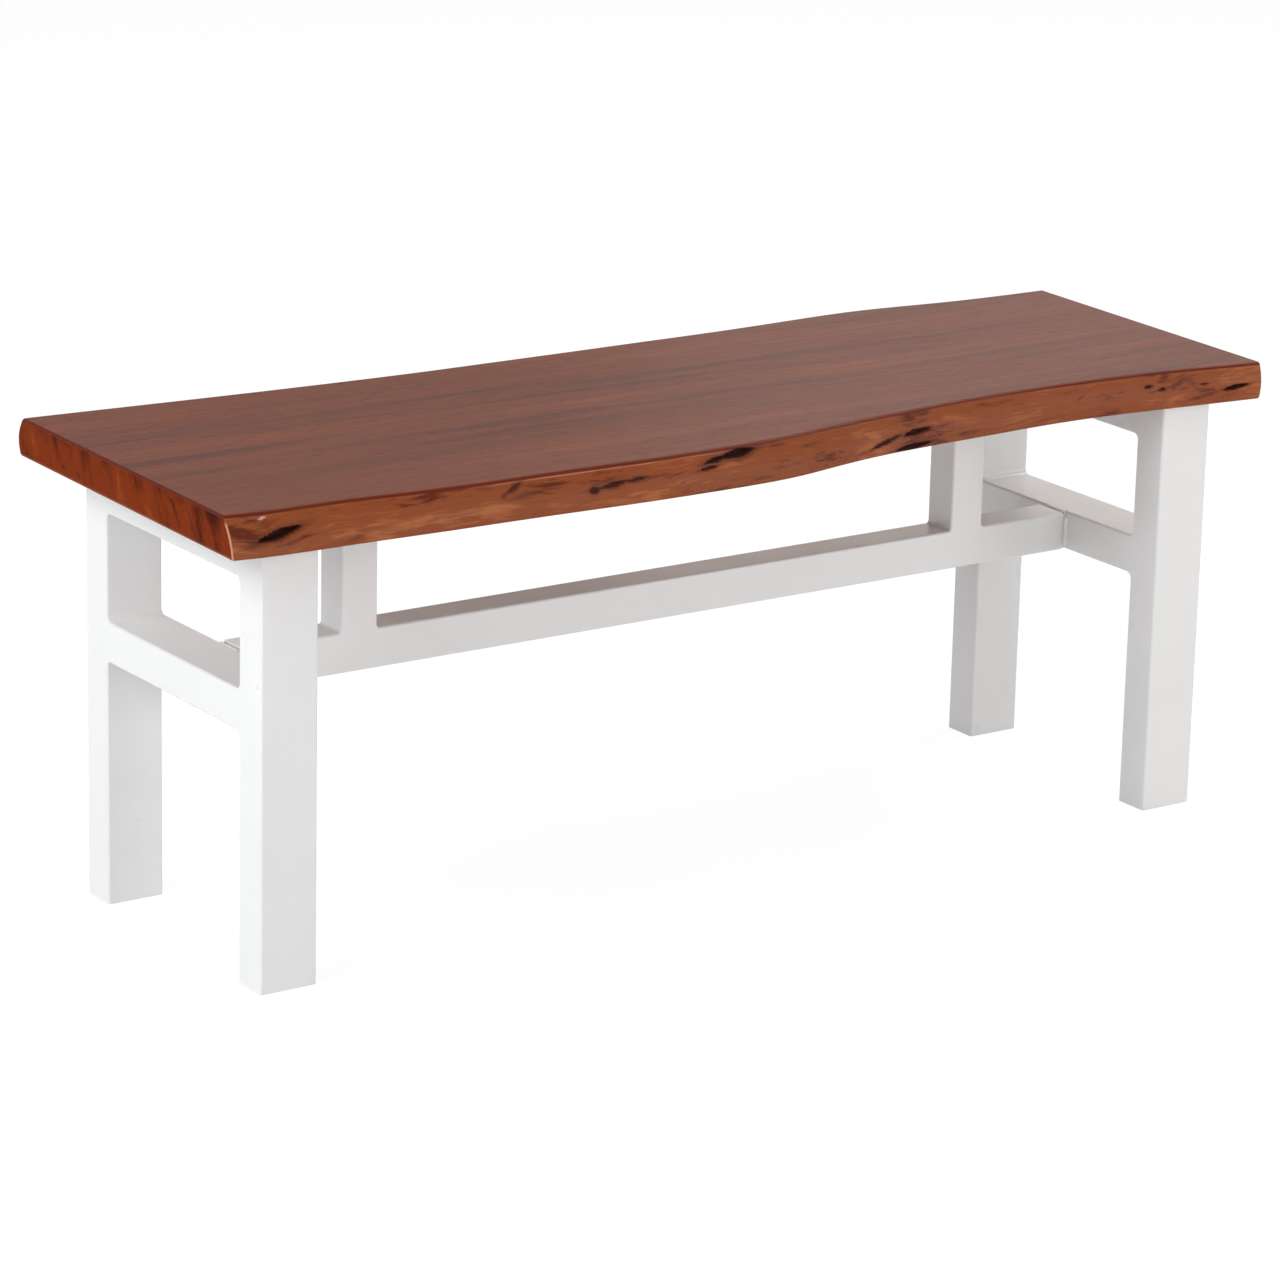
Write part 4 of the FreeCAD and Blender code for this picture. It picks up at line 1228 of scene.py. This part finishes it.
def lay_floor():
    """A pale floor that the camera and mirrors see white but for the shadow on it."""
    bpy.ops.mesh.primitive_plane_add(size=FLOOR_SIZE)
    floor = bpy.context.object
    floor.name = "Floor"
    material = bpy.data.materials.new("Pale floor")
    material.use_nodes = True
    tree = material.node_tree
    tree.nodes.clear()
    path = add(tree, "ShaderNodeLightPath").outputs
    seen = maths("MAXIMUM", path["Is Camera Ray"], path["Is Glossy Ray"])
    seen = maths("MAXIMUM", seen, path["Is Transmission Ray"])
    plain = add(tree, "ShaderNodeBsdfDiffuse", {"Color": (0.8, 0.8, 0.8, 1)})
    faint = add(tree, "ShaderNodeBsdfDiffuse", {"Color": (0.16, 0.16, 0.16, 1)})
    glow = add(tree, "ShaderNodeEmission", {"Color": (1, 1, 1, 1), "Strength": 0.91})
    bright = add(tree, "ShaderNodeAddShader", {0: faint.outputs[0], 1: glow.outputs[0]})
    both = add(tree, "ShaderNodeMixShader", {0: seen, 1: plain.outputs[0], 2: bright.outputs[0]})
    add(tree, "ShaderNodeOutputMaterial", {"Surface": both.outputs[0]})
    floor.data.materials.append(material)


def light_sky(stage):
    """An even white sky with a warm, brighter wall behind the bench."""
    world = bpy.data.worlds.new("Studio")
    world.use_nodes = True
    tree = world.node_tree
    way = add(tree, "ShaderNodeTexCoord").outputs["Generated"]
    behind = add(tree, "ShaderNodeVectorMath", {0: way, 1: BEHIND},
                 operation="DOT_PRODUCT").outputs["Value"]
    wall = add(tree, "ShaderNodeMapRange", {"Value": behind, "From Min": 0.55, "From Max": 1.0},
               interpolation_type="SMOOTHSTEP").outputs[0]
    sky = tree.nodes["Background"].inputs
    tree.links.new(mixed(wall, (1, 1, 1), (1, 0.91, 0.82)), sky["Color"])
    tree.links.new(
        spread(wall, 0, 1, stage.sky, stage.sky + stage.backdrop), sky["Strength"])
    bpy.context.scene.world = world


class BENCH_OT_stage(bpy.types.Operator):
    """Set the camera at the photograph's angle, the soft lamps and the pale floor"""

    bl_idname = "bench.stage"
    bl_label = "Stage"

    def execute(self, context):
        stage = context.scene.bench_stage
        bpy.ops.object.camera_add(location=stage.eye)
        camera = context.object
        camera.name = "Photograph camera"
        aim = Vector(stage.aim).to_track_quat("-Z", "Y")
        camera.rotation_euler = (aim @ Quaternion((0, 0, 1), stage.roll)).to_euler()
        camera.data.lens = stage.lens
        camera.data.clip_end = 2.5 * FLOOR_SIZE
        context.scene.camera = camera
        lay_floor()
        for name, place, size, tint in LAMPS:
            lamp(name, place, size, getattr(stage, f"{name}_power"), tint)
        light_sky(stage)
        context.scene.view_settings.view_transform = "Standard"
        return {"FINISHED"}


STEPS = (
    BENCH_OT_stage, BENCH_OT_seat_boards, BENCH_OT_end_frames, BENCH_OT_stretcher_frame,
    BENCH_OT_spigots, BENCH_OT_mounting_plates, BENCH_OT_weld_beads, BENCH_OT_wood_screws,
    BENCH_OT_bolts_and_nuts, BENCH_OT_glides)


class BENCH_PT_panel(bpy.types.Panel):
    """The steps that dress the bench, in their order"""

    bl_idname = "BENCH_PT_panel"
    bl_label = "Live edge bench"
    bl_space_type = "VIEW_3D"
    bl_region_type = "UI"
    bl_category = "Bench"

    def draw(self, context):
        for made in STEPS:
            self.layout.operator(made.bl_idname)
        for group in (context.scene.bench_sizes, context.scene.bench_colours,
                      context.scene.bench_stage):
            box = self.layout.box()
            for key in group.__annotations__:
                box.prop(group, key)


GROUPS = {"bench_sizes": BenchSizes, "bench_colours": BenchColours, "bench_stage": BenchStage}


def register():
    for made in (*GROUPS.values(), *STEPS, BENCH_PT_panel):
        bpy.utils.register_class(made)
    for name, group in GROUPS.items():
        setattr(bpy.types.Scene, name, PointerProperty(type=group))


def unregister():
    for name in GROUPS:
        delattr(bpy.types.Scene, name)
    for made in (BENCH_PT_panel, *reversed(STEPS), *GROUPS.values()):
        bpy.utils.unregister_class(made)


def main():
    register()
    for made in STEPS:
        group, name = made.bl_idname.split(".")
        getattr(getattr(bpy.ops, group), name)()


if __name__ == "__main__":
    main()
